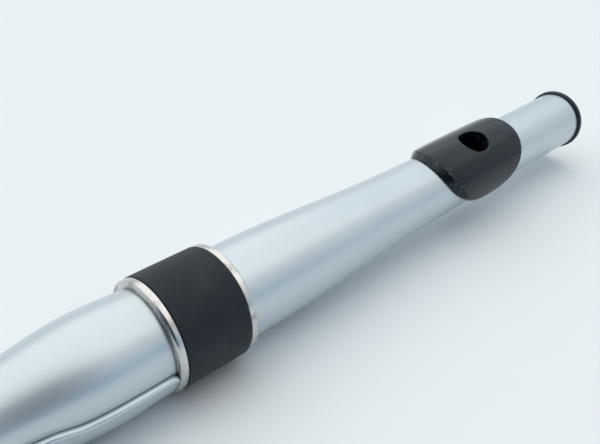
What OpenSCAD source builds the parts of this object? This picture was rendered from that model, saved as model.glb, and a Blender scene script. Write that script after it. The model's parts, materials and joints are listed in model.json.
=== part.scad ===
// Moulded transverse flute: head joint, body with keywork, and foot joint.
// The bore runs along X from the foot's open end towards the crown. Z is up, and the player stands on +Y.

/* [Scale] */
// Frequency of the lowest note, in hertz
low_note = 261.6; // [215:0.1:270]
// Speed of sound in the warm bore, in metres per second
sound_speed = 346; // [340:1:420]
// Length that the embouchure and an open hole add to the sounding length
end_correction = 60; // [55:0.5:65]

/* [Bore] */
// Bore of the body and the foot
bore_d = 19; // [16:0.1:23]
// How much narrower the bore is at the stopper
bore_drop = 2; // [0.5:0.1:4]
// How much wider the bore is in the foot
foot_bore_gain = 0.4; // [0.2:0.1:1]
// Wall of the body and foot tubes
tube_wall = 2.4; // [1.8:0.1:3]

/* [Head joint] */
// From the embouchure's centre to the crown's end face
crown_reach = 68.6; // [57:0.1:83]
// From the embouchure's centre to the barrel's end
mouth_to_barrel = 117.1; // [97:0.1:141]
// Wall of the head at the barrel
root_wall = 4.9; // [4.4:0.1:6.5]
// Wall of the head at the lip plate and the crown
tip_wall = 1.95; // [1.6:0.05:2.4]
// Full-width length next to the barrel
head_straight = 24; // [10:0.5:28]
// Length over which the head narrows
head_taper = 102; // [60:1:112]
// How late the head narrows along that length: below 1 it starts early and ends gently
head_bend = 0.8; // [0.6:0.05:1.2]
// Turn of the embouchure towards the audience, in degrees
mouth_tilt = 16; // [0:1:30]
// Embouchure hole along the bore
mouth_len = 12.4; // [11:0.1:14]
// Embouchure hole across the bore
mouth_wid = 10.8; // [9:0.1:11]
// From the embouchure's centre to the stopper's face
stopper_reach = 17; // [15:0.5:20]
// Length of the stopper
stopper_len = 11; // [8:0.5:14]

/* [Lip plate] */
// Length of the lip plate along the bore
lip_len = 49; // [40:0.5:57]
// Height of the lip plate's crest above the tube
lip_rise = 3.15; // [2.6:0.05:4]
// How far the lip plate's crest stands above its ends
lip_crown = 0.9; // [0:0.1:1.2]
// Reach of each flank round the tube, in degrees from the embouchure
lip_wrap = 110; // [95:1:125]
// Shift of the lip plate's middle towards the barrel
lip_shift = 1.2; // [0:0.1:3]
// Length of the bevel at the barrel end
lip_bevel = 3.7; // [2:0.1:6]
// Thickness that the bevel runs out to
lip_edge = 0.4; // [0.2:0.1:0.8]
// Rounding of the end towards the crown
lip_round = 1.6; // [0.8:0.1:2]

/* [Crown] */
// Step of the crown's flange beyond the tube
crown_step = 0.95; // [0.4:0.05:2]
// Thickness of the flange
crown_t = 2.5; // [2:0.1:4]
// Length of the spigot that holds the crown in the tube
crown_spigot = 9; // [6:0.5:12]

/* [Barrel] */
// Wall of the barrel round the tenon
core_wall = 1.95; // [1.6:0.05:3]
// Length of the grip sleeve
sleeve_len = 21.8; // [18:0.1:27]
// Thickness of the grip sleeve
sleeve_t = 2.6; // [2:0.1:3.2]
// Thickness of both rings
ring_t = 2.4; // [2:0.1:3]
// Width of the ring on the body side
body_ring_w = 3.2; // [2.5:0.1:4]
// Width of the ring on the head side
head_ring_w = 2.3; // [2:0.1:4]
// Step of the body beyond the barrel's core
barrel_step = 0.7; // [0.4:0.1:1.4]
// From the body's ring to where the body is fullest
barrel_swell = 15.8; // [8:0.1:20]
// How much slimmer the body is at its ring
barrel_waist = 0.5; // [0:0.1:0.6]
// Length over which the body narrows to its tube
barrel_taper = 34; // [28:1:50]
// Length of the head's tenon
tenon_len = 32; // [25:0.5:38]
// Wall of the head's tenon
tenon_wall = 3.4; // [2.8:0.1:3.6]
// Thickness of a tenon seal
oring_t = 2.4; // [1.8:0.1:2.8]
// Distance of each tenon seal from the tenon's end
oring_inset = 7; // [4:0.5:10]

/* [Lower shell] */
// Wall of the half shell under the body
shell_wall = 1.4; // [1:0.1:1.8]
// Depth of the shell's rim below the bore's axis
shell_drop = 1.3; // [1:0.1:2]
// Rounding of the rim's end at the ring
shell_nose = 1.2; // [0.6:0.1:2]
// Length of the thumb rest
rest_len = 30; // [20:1:40]
// Width of the thumb rest's flat foot
rest_w = 18; // [14:0.5:22]
// Rounding of the thumb rest's edges
rest_round = 2; // [1:0.1:3]

/* [Tone holes] */
// Diameter of a finger hole
hole_d = 13.2; // [11:0.1:14]
// Diameter of the small hole under the first finger
small_hole_d = 6.4; // [5:0.1:8]
// Diameter of a trill hole
trill_hole_d = 8; // [6:0.1:8.5]
// Wall of a hole's chimney
chimney_wall = 1.4; // [1:0.1:1.8]
// Height of the chimneys above the tube
chimney_rise = 2; // [1.5:0.1:3]

/* [Keys] */
// Angle by which a key opens
key_open = 10; // [6:0.5:12]
// Overhang of a cup beyond its chimney
cup_lap = 0.6; // [0.3:0.1:0.8]
// Height of a cup
cup_t = 3; // [2.6:0.1:4]
// Depth of the seat for the pad
cup_seat = 1.4; // [1:0.1:1.8]
// Wall of a cup round its pad
cup_wall = 1; // [0.8:0.1:1.4]
// Depth of the finger dish in a cup
cup_dish = 0.7; // [0:0.1:1]
// Thickness of a pad
pad_t = 2.4; // [2:0.1:3]
// Width of a key's arm
arm_w = 5; // [3:0.1:6]
// Thickness of a key's arm
arm_t = 2.4; // [1.8:0.1:2.8]
// Distance of the hinge rod from the tube
hinge_off = 3.4; // [3.2:0.1:4.5]
// Height of the hinge rod above the bore's axis
hinge_z = 5; // [4:0.1:7]
// Diameter of the steel hinge rods
rod_d = 2.2; // [1.8:0.1:2.6]
// Wall of a key's hinge tube
knuckle_wall = 1.15; // [0.9:0.05:1.4]
// Reach of a lever beyond its hinge
lever_reach = 12; // [10:0.5:15]
// How far a closed key's lever rises to its tip
lever_lift = 2.5; // [1:0.1:3]
// Width of a lever's finger plate
lever_w = 11; // [8:0.5:13]
// Wall of the lower trill key's tube
trill_wall = 0.6; // [0.4:0.05:0.8]
// Wall of a hub that is pressed on that tube
hub_wall = 0.8; // [0.6:0.05:1.2]
// Gap between those hubs and the main hinge tubes
trill_clear = 0.3; // [0.2:0.05:1]
// Direction of the trill rod from the main rod, in degrees below level
trill_turn = 59; // [50:1:70]
// Gap between a needle spring and the hinge tube
spring_clear = 0.8; // [0.5:0.05:1.2]
// Diameter of a needle spring
spring_d = 0.7; // [0.5:0.05:0.8]
// Free length of a needle spring
spring_len = 6; // [4:0.5:7]

/* [Posts] */
// Width of a post along the rod
post_w = 3; // [2:0.1:3.5]
// Wall of a post round its rod
post_wall = 1.9; // [1.5:0.1:2.4]

/* [Foot joint] */
// Gap between the foot's socket and the chimney on each side of it
socket_clear = 0.8; // [0.5:0.1:2]
// Wall of the foot's socket
foot_socket_wall = 2.2; // [1.6:0.1:2.6]
// Wall of the tenon on the body
foot_tenon_wall = 1.9; // [1.7:0.1:2.2]
// Thickness of the foot's seal
foot_oring_t = 1.1; // [0.8:0.1:1.2]
// Step of the bead at the foot's open end beyond the tube
foot_bead_step = 1.4; // [0.8:0.1:2.5]
// Width of that bead
foot_bead_w = 4; // [3:0.1:6]

/* [Edges] */
// Rounding of the body ring's outer edge
body_ring_round = 1.2; // [0.4:0.1:1.4]
// Rounding of the head ring's outer edge
head_ring_round = 0.5; // [0.3:0.1:1]
// Rounding of both rings beside the sleeve
ring_crisp = 0.3; // [0.2:0.1:0.6]
// Rounding of the crown's flange
crown_round = 1; // [0.4:0.1:1.2]
// Rounding of the sleeve's ends
sleeve_round = 0.4; // [0.2:0.1:0.8]
// Rounding of the foot's ends
foot_round = 0.8; // [0.4:0.1:1]
// Rounding of a cup's top
cup_round = 0.8; // [0.4:0.1:1.2]
// Chamfer at the end of a tube or a spigot
chamfer = 0.5; // [0.2:0.1:0.8]

/* [Fits] */
// Radial gap of a tenon in its socket
slide_gap = 0.05; // [0.02:0.01:0.1]
// Radial gap of a turning hinge on its rod
run_gap = 0.05; // [0.02:0.01:0.1]
// Gap at each end of a hinge tube
end_play = 0.15; // [0.1:0.05:0.3]
// Gap left between a seal or a pad and what it closes
seal_gap = 0.04; // [0.02:0.01:0.1]
// Gap between the ends of a joint when it is pushed home
home_gap = 0.3; // [0.1:0.05:0.6]

/* [Hidden] */

$fn = 96;

// Colours
pearl = [0.66, 0.73, 0.80];
smoke = [0.12, 0.12, 0.13];
navy = [0.09, 0.11, 0.16];
nickel = [0.78, 0.77, 0.74];
steel = [0.62, 0.64, 0.66];
sleeve_black = [0.07, 0.08, 0.09];
silicone = [0.15, 0.15, 0.16];

// Semitones above the lowest note at which each key's hole sounds
low_c = 1;
low_c_sharp = 2;
e_flat = 3;
d = 4;
e = 5;
f = 6;
f_sharp = 7;
g_sharp = 8;
g = 9;
a = 10;
b_flat = 11;
thumb = 12;
c_sharp = 13;
d_trill = 14;
d_sharp_trill = 15;

// Stations along the bore
function reach(n) = 500 * sound_speed / (low_note * pow(2, n / 12)) - end_correction;
mouth_x = reach(0);
function hole_x(n) = mouth_x - reach(n);
function between(n) = (hole_x(n) + hole_x(n + 1)) / 2;

crown_x = mouth_x + crown_reach;
flange_x = crown_x - crown_t;
stopper_x = mouth_x + stopper_reach;
barrel_x = mouth_x - mouth_to_barrel;
sleeve_top_x = barrel_x - head_ring_w;
sleeve_x = sleeve_top_x - sleeve_len;
shoulder_x = sleeve_x - body_ring_w;
belly_x = shoulder_x - barrel_swell;
neck_x = belly_x - barrel_taper;
tenon_x = barrel_x - tenon_len;
lip_x = mouth_x - lip_shift;

// Radii
bore_r = bore_d / 2;
tube_r = bore_r + tube_wall;
head_bore_r = bore_r - bore_drop / 2;
foot_bore_r = bore_r + foot_bore_gain / 2;
root_r = bore_r + root_wall;
tip_r = bore_r + tip_wall;
tenon_r = bore_r + tenon_wall;
socket_r = tenon_r + slide_gap;
core_r = socket_r + core_wall;
barrel_r = core_r + barrel_step;
waist_r = barrel_r - barrel_waist;
sleeve_r = core_r + sleeve_t;
ring_r = core_r + ring_t;
lip_r = tip_r + lip_rise;
crown_r = tip_r + crown_step;
rod_r = rod_d / 2;
knuckle_r = rod_r + run_gap + knuckle_wall;
trill_tube_r = rod_r + run_gap + trill_wall;
trill_hub_r = trill_tube_r + hub_wall;
spring_r = spring_d / 2;
foot_tenon_r = bore_r + foot_tenon_wall;
foot_socket_r = foot_tenon_r + slide_gap;
foot_root_r = foot_socket_r + foot_socket_wall;
foot_bead_r = tube_r + foot_bead_step;
// What a tube has inside it before its bore is drilled
stock = 1;

// Outlines that narrow along a smooth S
curve_steps = 14;
function smooth(t) = t <= 0 ? 0 : t >= 1 ? 1 : t * t * (3 - 2 * t);
function blend(from, to, t) = from + (to - from) * t;
function head_r(x) = blend(root_r, tip_r,
    smooth(pow(max(0, (x - barrel_x - head_straight) / head_taper), head_bend)));
function body_r(x) = x < belly_x ? blend(tube_r, barrel_r, smooth((x - neck_x) / barrel_taper))
    : blend(barrel_r, waist_r, smooth((x - belly_x) / barrel_swell));
function lip_arch(x) = lip_r - lip_crown * pow((x - lip_x) / (lip_len / 2), 2);
function spread(from, to) = [for (i = [0 : curve_steps]) blend(from, to, i / curve_steps)];
function arc(centre, r, from, to, steps = 6) =
    [for (i = [0 : steps]) let (angle = blend(from, to, i / steps)) centre + r * [cos(angle), sin(angle)]];

// Drops each point that repeats the one before it
function dedupe(points) = [for (i = [0 : len(points) - 1])
    if (norm(points[i] - points[(i + len(points) - 1) % len(points)]) > 0.001) points[i]];

// Levels of a closed key, and its hinge lines as [y, z]
rim_z = tube_r + chimney_rise;
pad_z = rim_z + seal_gap;
cup_z = pad_z + pad_t - cup_seat;
hinge = [tube_r + hinge_off, hinge_z];
trill_hinge = hinge + (knuckle_r + trill_hub_r + trill_clear) * [cos(trill_turn), -sin(trill_turn)];
function chimney_r(hole) = hole / 2 + chimney_wall;
function cup_r(hole) = chimney_r(hole) + cup_lap;

// Posts along the main rod: one below the lowest key, one between each pair, and one above
foot_x = hole_x(d) - chimney_r(hole_d) - socket_clear;
foot_tenon_x = hole_x(e_flat) + chimney_r(hole_d) + socket_clear;
foot_post_gap = 2.5;
low_post_x = foot_x + 2 * home_gap + post_w / 2;
top_post_x = hole_x(c_sharp) + (hole_x(c_sharp) - hole_x(thumb)) / 2;
main_posts = concat([low_post_x], [for (n = [d : thumb]) between(n)], [top_post_x]);
trill_mid_x = between(d_trill);
trill_top_x = hole_x(d_sharp_trill) + (hole_x(d_sharp_trill) - hole_x(d_trill)) / 2;
d_tube_post = 2;
touch_w = 6;
touch_r = 4.5;
foot_posts_x = [hole_x(low_c_sharp) - chimney_r(hole_d) - foot_post_gap, between(low_c_sharp),
                hole_x(e_flat) + chimney_r(hole_d)];
low_c_posts_x = [hole_x(low_c) - chimney_r(hole_d) - end_play,
                 between(low_c_sharp) + (touch_w + post_w) / 2 + foot_post_gap];

// Needle springs lie beside the hinge, at this offset from its axis
spring_turn = 33;
spring_off = (knuckle_r + spring_r + spring_clear) * [cos(spring_turn), sin(spring_turn)];

// A shape of revolution round the bore, from points [radius, x]
module turned(points) rotate([0, 90, 0]) mirror([1, 0, 0]) rotate_extrude() polygon(points);

module rod(axis, x0, x1, r) translate([x0, axis[0], axis[1]]) rotate([0, 90, 0]) cylinder(r = r, h = x1 - x0);

module drill(axis, x0, x1, r) rod(axis, x0 - 1, x1 + 1, r);

// Extrudes an outline in Y and Z along the bore
module sliced(x0, x1) translate([x0, 0, 0]) rotate([90, 0, 90]) linear_extrude(x1 - x0) children();

module about(axis, angle)
    translate([0, axis[0], axis[1]]) rotate([angle, 0, 0]) translate([0, -axis[0], -axis[1]]) children();

// A seal ring in a groove, and the groove that takes it
module seal(x, outer_r, t) rotate([0, 90, 0]) translate([0, 0, x])
    rotate_extrude() translate([outer_r - t / 2, 0]) circle(d = t, $fn = 32);

function groove(x, land_r, outer_r, t) = let (floor_r = outer_r - t - seal_gap, half = t / 2 + seal_gap)
    [[land_r, x - half], [floor_r, x - half], [floor_r, x + half], [land_r, x + half]];

// Metal ring with a rounding of its own at each edge
module rounded_ring(x0, x1, edge0, edge1) color(nickel)
    turned(concat([[core_r, x0]], arc([ring_r - edge0, x0 + edge0], edge0, -90, 0),
                  arc([ring_r - edge1, x1 - edge1], edge1, 0, 90), [[core_r, x1]]));

// Head joint
tenon_seals_x = [tenon_x + oring_inset, barrel_x - oring_inset];
tenon_seal_r = socket_r - seal_gap;

module mouth_hole() translate([mouth_x, 0, 0]) linear_extrude(2 * lip_r) {
    half = (mouth_len - mouth_wid) / 2;
    square([2 * half, mouth_wid], center = true);
    for (side = [-1, 1]) translate([side * half, 0]) circle(d = mouth_wid);
}

module head_tube() color(pearl) difference() {
    turned(concat(
        [[bore_r, tenon_x], [tenon_r, tenon_x]],
        groove(tenon_seals_x[0], tenon_r, tenon_seal_r, oring_t),
        groove(tenon_seals_x[1], tenon_r, tenon_seal_r, oring_t),
        [[tenon_r, barrel_x + home_gap], [root_r - chamfer, barrel_x + home_gap],
         [root_r, barrel_x + home_gap + chamfer]],
        [for (x = spread(barrel_x + head_straight, barrel_x + head_straight + head_taper)) [head_r(x), x]],
        [[tip_r, flange_x], [head_bore_r, flange_x], [head_bore_r, stopper_x]]));
    rotate([mouth_tilt, 0, 0]) mouth_hole();
}

// Outline of the lip plate from the side, level with the embouchure
module lip_side() {
    half = [for (phi = spread(0, lip_wrap))
            [lip_len / 2 * sqrt(1 - pow(phi / lip_wrap, 2)), lip_r * cos(phi)]];
    polygon(concat([[-lip_len / 2, 2 * lip_r], [lip_len / 2, 2 * lip_r]], half,
                   [for (i = [curve_steps - 1 : -1 : 0]) [-half[i][0], half[i][1]]]));
}

// Outline of the plate over the tube: bevelled at the barrel end, rounded at the crown end
lip_x0 = lip_x - lip_len / 2;
lip_x1 = lip_x + lip_len / 2;
lip_seat = slide_gap + lip_edge;
lip_top = concat(
    [[head_r(lip_x0) + lip_seat, lip_x0]],
    [for (x = spread(lip_x0 + lip_bevel, lip_x1 - lip_round)) [lip_arch(x), x]],
    [for (p = arc([lip_arch(lip_x1) - lip_round, lip_x1 - lip_round], lip_round, 0, 90))
     if (p[1] > lip_x1 - lip_round) p]);

module lip_plate() color(smoke) rotate([mouth_tilt, 0, 0]) difference() {
    xs = spread(lip_x0, lip_x1);
    intersection() {
        turned(concat(lip_top, [for (i = [curve_steps : -1 : 0]) [head_r(xs[i]) + slide_gap, xs[i]]]));
        translate([lip_x, 0, 0]) rotate([90, 0, 0]) linear_extrude(4 * lip_r, center = true) lip_side();
    }
    mouth_hole();
}

module crown() color(navy) {
    edge = min(crown_round, crown_t * 0.45);
    spigot_x = flange_x - crown_spigot;
    turned(concat([[0, spigot_x], [head_bore_r - chamfer, spigot_x], [head_bore_r, spigot_x + chamfer],
                   [head_bore_r, flange_x]],
                  arc([crown_r - edge, flange_x + edge], edge, -90, 0),
                  arc([crown_r - edge, crown_x - edge], edge, 0, 90),
                  [[0, crown_x]]));
}

stopper_seal_x = stopper_x + stopper_len / 2;
stopper_r = head_bore_r - slide_gap;

module head_stopper() color(smoke)
    turned(concat([[0, stopper_x], [stopper_r, stopper_x]],
                  groove(stopper_seal_x, stopper_r, head_bore_r - seal_gap, oring_t),
                  [[stopper_r, stopper_x + stopper_len], [0, stopper_x + stopper_len]]));

module stopper_seal() color(silicone) seal(stopper_seal_x, head_bore_r - seal_gap, oring_t);

module tenon_orings() color(silicone) for (x = tenon_seals_x) seal(x, tenon_seal_r, oring_t);

// Barrel
module head_ring() rounded_ring(sleeve_top_x, barrel_x, ring_crisp, head_ring_round);

module body_ring() rounded_ring(shoulder_x, sleeve_x, body_ring_round, ring_crisp);

module grip_sleeve() color(sleeve_black) {
    edge = sleeve_round;
    turned(concat([[core_r, sleeve_x]],
                  arc([sleeve_r - edge, sleeve_x + edge], edge, -90, 0, 3),
                  arc([sleeve_r - edge, sleeve_top_x - edge], edge, 0, 90, 3), [[core_r, sleeve_top_x]]));
}

// Body
body_holes = concat([for (n = [d : thumb]) [n, hole_d]],
                    [[c_sharp, small_hole_d], [d_trill, trill_hole_d], [d_sharp_trill, trill_hole_d]]);
foot_holes = [for (n = [low_c : e_flat]) [n, hole_d]];
foot_seal_x = (foot_x + foot_tenon_x) / 2;
foot_seal_r = foot_socket_r - seal_gap;

// Where the outline of the swollen end is drawn
body_stations = concat(spread(neck_x, belly_x), spread(belly_x + barrel_swell / curve_steps, shoulder_x));

// A tube with a chimney round each of its holes
module holed_tube(points, holes, r) difference() {
    union() {
        turned(points);
        for (hole = holes) translate([hole_x(hole[0]), 0, bore_r])
            cylinder(r = chimney_r(hole[1]), h = rim_z - bore_r);
    }
    drill([0, 0], 0, tenon_x, r);
    for (hole = holes) translate([hole_x(hole[0]), 0, 0]) cylinder(d = hole[1], h = rim_z + 1);
}

module body_tube() color(pearl) holed_tube(concat(
    [[bore_r - stock, foot_tenon_x + home_gap], [foot_tenon_r, foot_tenon_x + home_gap]],
    groove(foot_seal_x, foot_tenon_r, foot_seal_r, foot_oring_t),
    [[foot_tenon_r, foot_x + home_gap], [tube_r, foot_x + home_gap]],
    [for (x = body_stations) [body_r(x), x]],
    [[core_r, shoulder_x], [core_r, barrel_x - chamfer],
     [socket_r + chamfer, barrel_x - chamfer], [socket_r, barrel_x - 2 * chamfer],
     [socket_r, tenon_x - home_gap], [bore_r - stock, tenon_x - home_gap]]), body_holes, bore_r);

// Half shell under the body, lofted through sections that follow the body's outline
shell_x0 = foot_x + home_gap;
shell_x1 = shoulder_x - home_gap;
shell_arc_steps = 24;
shell_rim_steps = 6;

// Section at x as points [y, z]: outer arc, rounded rim, inner arc, rounded rim; the rim is lowered by fall
function shell_section(x, fall) = let (
    inner_r = body_r(x) + slide_gap,
    outer_r = body_r(x) + shell_wall,
    rim_r = (outer_r - inner_r) / 2,
    mid_r = inner_r + rim_r,
    tilt = asin((shell_drop + fall) / mid_r))
    concat(arc([0, 0], outer_r, -tilt, tilt - 180, shell_arc_steps),
           arc(mid_r * [-cos(tilt), -sin(tilt)], rim_r, 180 + tilt, tilt, shell_rim_steps),
           arc([0, 0], inner_r, tilt - 180, -tilt, shell_arc_steps),
           arc(mid_r * [cos(tilt), -sin(tilt)], rim_r, 180 - tilt, -tilt, shell_rim_steps));

// Solid through equal sections at the stations, which are closed outlines of [y, z] points
module loft(stations, sections) {
    n = len(sections[0]);
    last = len(stations) - 1;
    points = [for (i = [0 : last]) for (p = sections[i]) [stations[i], p[0], p[1]]];
    sides = [for (i = [0 : last - 1]) for (j = [0 : n - 1])
             let (a0 = i * n + j, a1 = i * n + (j + 1) % n, b0 = a0 + n, b1 = a1 + n)
             each [[a0, a1, b1], [a0, b1, b0]]];
    ends = [[for (j = [n - 1 : -1 : 0]) j], [for (j = [0 : n - 1]) last * n + j]];
    polyhedron(points, concat(sides, ends));
}

module lower_shell() color(pearl) {
    nose = arc([shell_x1 - shell_nose, shell_nose], shell_nose, -90, 0, 4);
    plain = concat([[shell_x0, 0]],
                   [for (i = [0 : 2 : len(body_stations) - 1])
                    if (body_stations[i] < nose[0][0]) [body_stations[i], 0]]);
    rim = concat(plain, nose);
    loft([for (p = rim) p[0]], [for (p = rim) dedupe(shell_section(p[0], p[1]))]);
}

rest_x = hole_x(f);

module thumb_rest() color(sleeve_black) sliced(rest_x - rest_len / 2, rest_x + rest_len / 2) difference() {
    half = rest_w / 2;
    draft = 1.5;
    foot_z = -sleeve_r;
    polygon(concat(arc([half - rest_round, foot_z + rest_round], rest_round, -90, 0),
                   [[half - draft, -tube_r], [draft - half, -tube_r]],
                   arc([rest_round - half, foot_z + rest_round], rest_round, 180, 270)));
    circle(r = tube_r + shell_wall);
}

// Keywork
function bezier(p, t) = pow(1 - t, 2) * p[0] + 2 * t * (1 - t) * p[1] + t * t * p[2];
function bezier_turn(p, t) = let (along = 2 * (1 - t) * (p[1] - p[0]) + 2 * t * (p[2] - p[1]))
    [along[1], -along[0]] / norm(along);
arm_steps = 10;

// A strap that follows a curve in Y and Z, of even thickness
module strap(p, thick) polygon(concat(
    [for (i = [0 : arm_steps]) bezier(p, i / arm_steps) + bezier_turn(p, i / arm_steps) * thick / 2],
    [for (i = [arm_steps : -1 : 0]) bezier(p, i / arm_steps) - bezier_turn(p, i / arm_steps) * thick / 2]));

arm_sink = 0.2;
arm_land = 0.45;
cup_top_z = cup_z + cup_t - arm_sink;
function arm_curve(axis, hole) = [axis, [axis[0], cup_top_z], [cup_r(hole) * arm_land, cup_top_z]];

module cup(hole) {
    r = cup_r(hole);
    edge = min(cup_round, cup_t - cup_seat);
    dish_r = r - 2 * edge;
    dish_steps = 4;
    rotate_extrude() polygon(concat(
        [[0, cup_seat], [r - cup_wall, cup_seat], [r - cup_wall, 0], [r, 0]],
        arc([r - edge, cup_t - edge], edge, 0, 90, 4),
        [for (i = [0 : dish_steps]) let (s = 1 - i / dish_steps)
         [dish_r * s, cup_t - cup_dish * (1 - s * s)]]));
}

// A pad: its face stands proud where it meets the chimney's rim
pad_step = 0.5;

module pad(hole) {
    r = cup_r(hole) - cup_wall - seal_gap;
    lip_in = hole / 2 - pad_step;
    rotate_extrude() polygon([[0, pad_step], [lip_in - pad_step, pad_step], [lip_in, 0], [r - pad_step, 0],
                              [r, pad_step], [r, pad_t], [0, pad_t]]);
}

// Cup and arm of the key over hole n, turned open about its hinge
module cup_on_arm(n, hole, axis, open) about(axis, -open) difference() {
    union() {
        translate([hole_x(n), 0, cup_z]) cup(hole);
        sliced(hole_x(n) - arm_w / 2, hole_x(n) + arm_w / 2) strap(arm_curve(axis, hole), arm_t);
    }
    translate([hole_x(n), 0, cup_z - cup_t])
        cylinder(r = cup_r(hole) - cup_wall, h = cup_t + cup_seat);
}

module pad_on_arm(n, hole, axis, open) color(silicone)
    about(axis, -open) translate([hole_x(n), 0, pad_z]) pad(hole);

// Small catch that the free end of a spring bears on: below it on a key that stands open
function spring_at(axis, out, up) = axis + [out * spring_off[0], up * spring_off[1]];

catch_len = 2.2;
catch_t = 1;

module catch(axis, x_face, out, up) {
    tip = spring_at(axis, out, up);
    face = tip[1] - up * (spring_r + seal_gap / 2);
    inner = axis[0] + out * (rod_r + spring_r);
    outer = tip[0] + out * catch_t / 2;
    sliced(x_face - spring_len, x_face - spring_len + catch_len)
        polygon([[outer, face], [inner, face], [inner, face - up * catch_t], [outer, face - up * catch_t]]);
}

// A lever's finger plate beyond the hinge, over length wide and rising by lift
lever_bend = 0.45;
lever_neck = 1.5;

module lever(axis, x0, wide, lift) intersection() {
    tip = axis + [lever_reach, lift];
    sliced(x0, x0 + wide) strap([axis, axis + [lever_reach * lever_bend, lift], tip], arm_t);
    translate([x0 + wide / 2, 0, -2 * sleeve_r]) linear_extrude(4 * sleeve_r) {
        translate([0, tip[0] - wide / 2]) circle(d = wide);
        translate([lever_neck - wide / 2, axis[0]]) square([wide - 2 * lever_neck, lever_reach - wide / 2]);
    }
}

// Bar on a key's arm that lies over the next key's arm and takes it down too
module link_bar(n, hole) {
    at = 0.45;
    curve = arm_curve(hinge, hole);
    foot = bezier(curve, at);
    out = bezier_turn(curve, at);
    bar_t = 1.4;
    bar_w = 3;
    span = hole_x(n + 1) - hole_x(n) + arm_w;
    translate([hole_x(n) - arm_w / 2, foot[0], foot[1]]) rotate([atan2(out[1], out[0]) - 90, 0, 0]) {
        translate([0, -bar_w / 2, 0]) cube([arm_w, bar_w, arm_t / 2 + end_play + bar_t]);
        translate([0, -bar_w / 2, arm_t / 2 + end_play]) cube([span, bar_w, bar_t]);
    }
}

function bay(posts, i) = [posts[i] + post_w / 2 + end_play, posts[i + 1] - post_w / 2 - end_play];

// A key on a rod: hinge tube between two posts, with its cup, its catch and what else it carries
module hinged_key(n, hole, span, open) color(pearl) difference() {
    union() {
        cup_on_arm(n, hole, hinge, open);
        rod(hinge, span[0], span[1], knuckle_r);
        catch(hinge, span[1] + end_play, -1, open > 0 ? -1 : 1);
        children();
    }
    drill(hinge, span[0], span[1], rod_r + run_gap);
}

module main_key(n, hole = hole_d, open = key_open)
    hinged_key(n, hole, bay(main_posts, n - d), open) children();

module c_sharp_key() main_key(c_sharp, small_hole_d);

module thumb_key() main_key(thumb) lever(hinge, hole_x(thumb) - lever_w / 2, lever_w, 0);

module b_flat_key() main_key(b_flat);

module a_key() main_key(a) about(hinge, -key_open) link_bar(a, hole_d);

module g_key() main_key(g);

module g_sharp_key() main_key(g_sharp, open = 0)
    lever(hinge, hole_x(g_sharp) - lever_w / 2, lever_w, lever_lift);

module f_sharp_key() main_key(f_sharp);

module f_key() main_key(f) about(hinge, -key_open) link_bar(f, hole_d);

module e_key() main_key(e);

module d_key() main_key(d);

// Trill keys: the lower one's pieces are pressed on a tube that turns on the trill rod, and the upper
// one's on the rod itself, which turns inside that tube
d_tube = [main_posts[d_tube_post] + post_w / 2 + end_play, trill_mid_x - post_w / 2 - end_play];
d_sharp_hub = [trill_mid_x + post_w / 2 + end_play, trill_top_x - post_w / 2 - end_play];
d_sharp_lever = [main_posts[1] - post_w / 2 - end_play - lever_w, main_posts[1] - post_w / 2 - end_play];

d_hub = [hole_x(d_trill) - arm_w / 2, d_tube[1]];
d_lever = [d_tube[0], d_tube[0] + lever_w];

module d_trill_tube() color(steel) difference() {
    rod(trill_hinge, d_tube[0], d_tube[1], trill_tube_r);
    drill(trill_hinge, d_tube[0], d_tube[1], rod_r + run_gap);
}

module d_trill_key() color(pearl) difference() {
    union() {
        cup_on_arm(d_trill, trill_hole_d, trill_hinge, 0);
        rod(trill_hinge, d_hub[0], d_hub[1], trill_hub_r);
        catch(trill_hinge, d_hub[1] + end_play, 1, -1);
    }
    drill(trill_hinge, d_hub[0], d_hub[1], trill_tube_r);
}

module d_trill_touch() color(pearl) difference() {
    union() {
        rod(trill_hinge, d_lever[0], d_lever[1], trill_hub_r);
        lever(trill_hinge, d_lever[0], lever_w, lever_lift);
    }
    drill(trill_hinge, d_lever[0], d_lever[1], trill_tube_r);
}

module d_sharp_trill_key() color(pearl) difference() {
    union() {
        cup_on_arm(d_sharp_trill, trill_hole_d, trill_hinge, 0);
        rod(trill_hinge, d_sharp_hub[0], d_sharp_hub[1], knuckle_r);
        catch(trill_hinge, d_sharp_hub[1] + end_play, 1, -1);
    }
    drill(trill_hinge, d_sharp_hub[0], d_sharp_hub[1], rod_r);
}

module d_sharp_touch() color(pearl) difference() {
    union() {
        rod(trill_hinge, d_sharp_lever[0], d_sharp_lever[1], knuckle_r);
        lever(trill_hinge, d_sharp_lever[0], lever_w, lever_lift);
    }
    drill(trill_hinge, d_sharp_lever[0], d_sharp_lever[1], rod_r);
}

module c_sharp_pad() pad_on_arm(c_sharp, small_hole_d, hinge, key_open);

module thumb_pad() pad_on_arm(thumb, hole_d, hinge, key_open);

module b_flat_pad() pad_on_arm(b_flat, hole_d, hinge, key_open);

module a_pad() pad_on_arm(a, hole_d, hinge, key_open);

module g_pad() pad_on_arm(g, hole_d, hinge, key_open);

module g_sharp_pad() pad_on_arm(g_sharp, hole_d, hinge, 0);

module f_sharp_pad() pad_on_arm(f_sharp, hole_d, hinge, key_open);

module f_pad() pad_on_arm(f, hole_d, hinge, key_open);

module e_pad() pad_on_arm(e, hole_d, hinge, key_open);

module d_pad() pad_on_arm(d, hole_d, hinge, key_open);

module d_trill_pad() pad_on_arm(d_trill, trill_hole_d, trill_hinge, 0);

module d_sharp_trill_pad() pad_on_arm(d_sharp_trill, trill_hole_d, trill_hinge, 0);

// Posts: a moulded web on the tube's side, with an eye for each rod that it carries
post_r = rod_r + post_wall;
spring_wall = 0.9;
trill_post_r = norm(spring_off) + spring_r + spring_wall;
web_turn = 60;
web_low = [bore_r, 0];
web_high = [bore_r - tube_wall, hinge_z + post_r];

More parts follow.
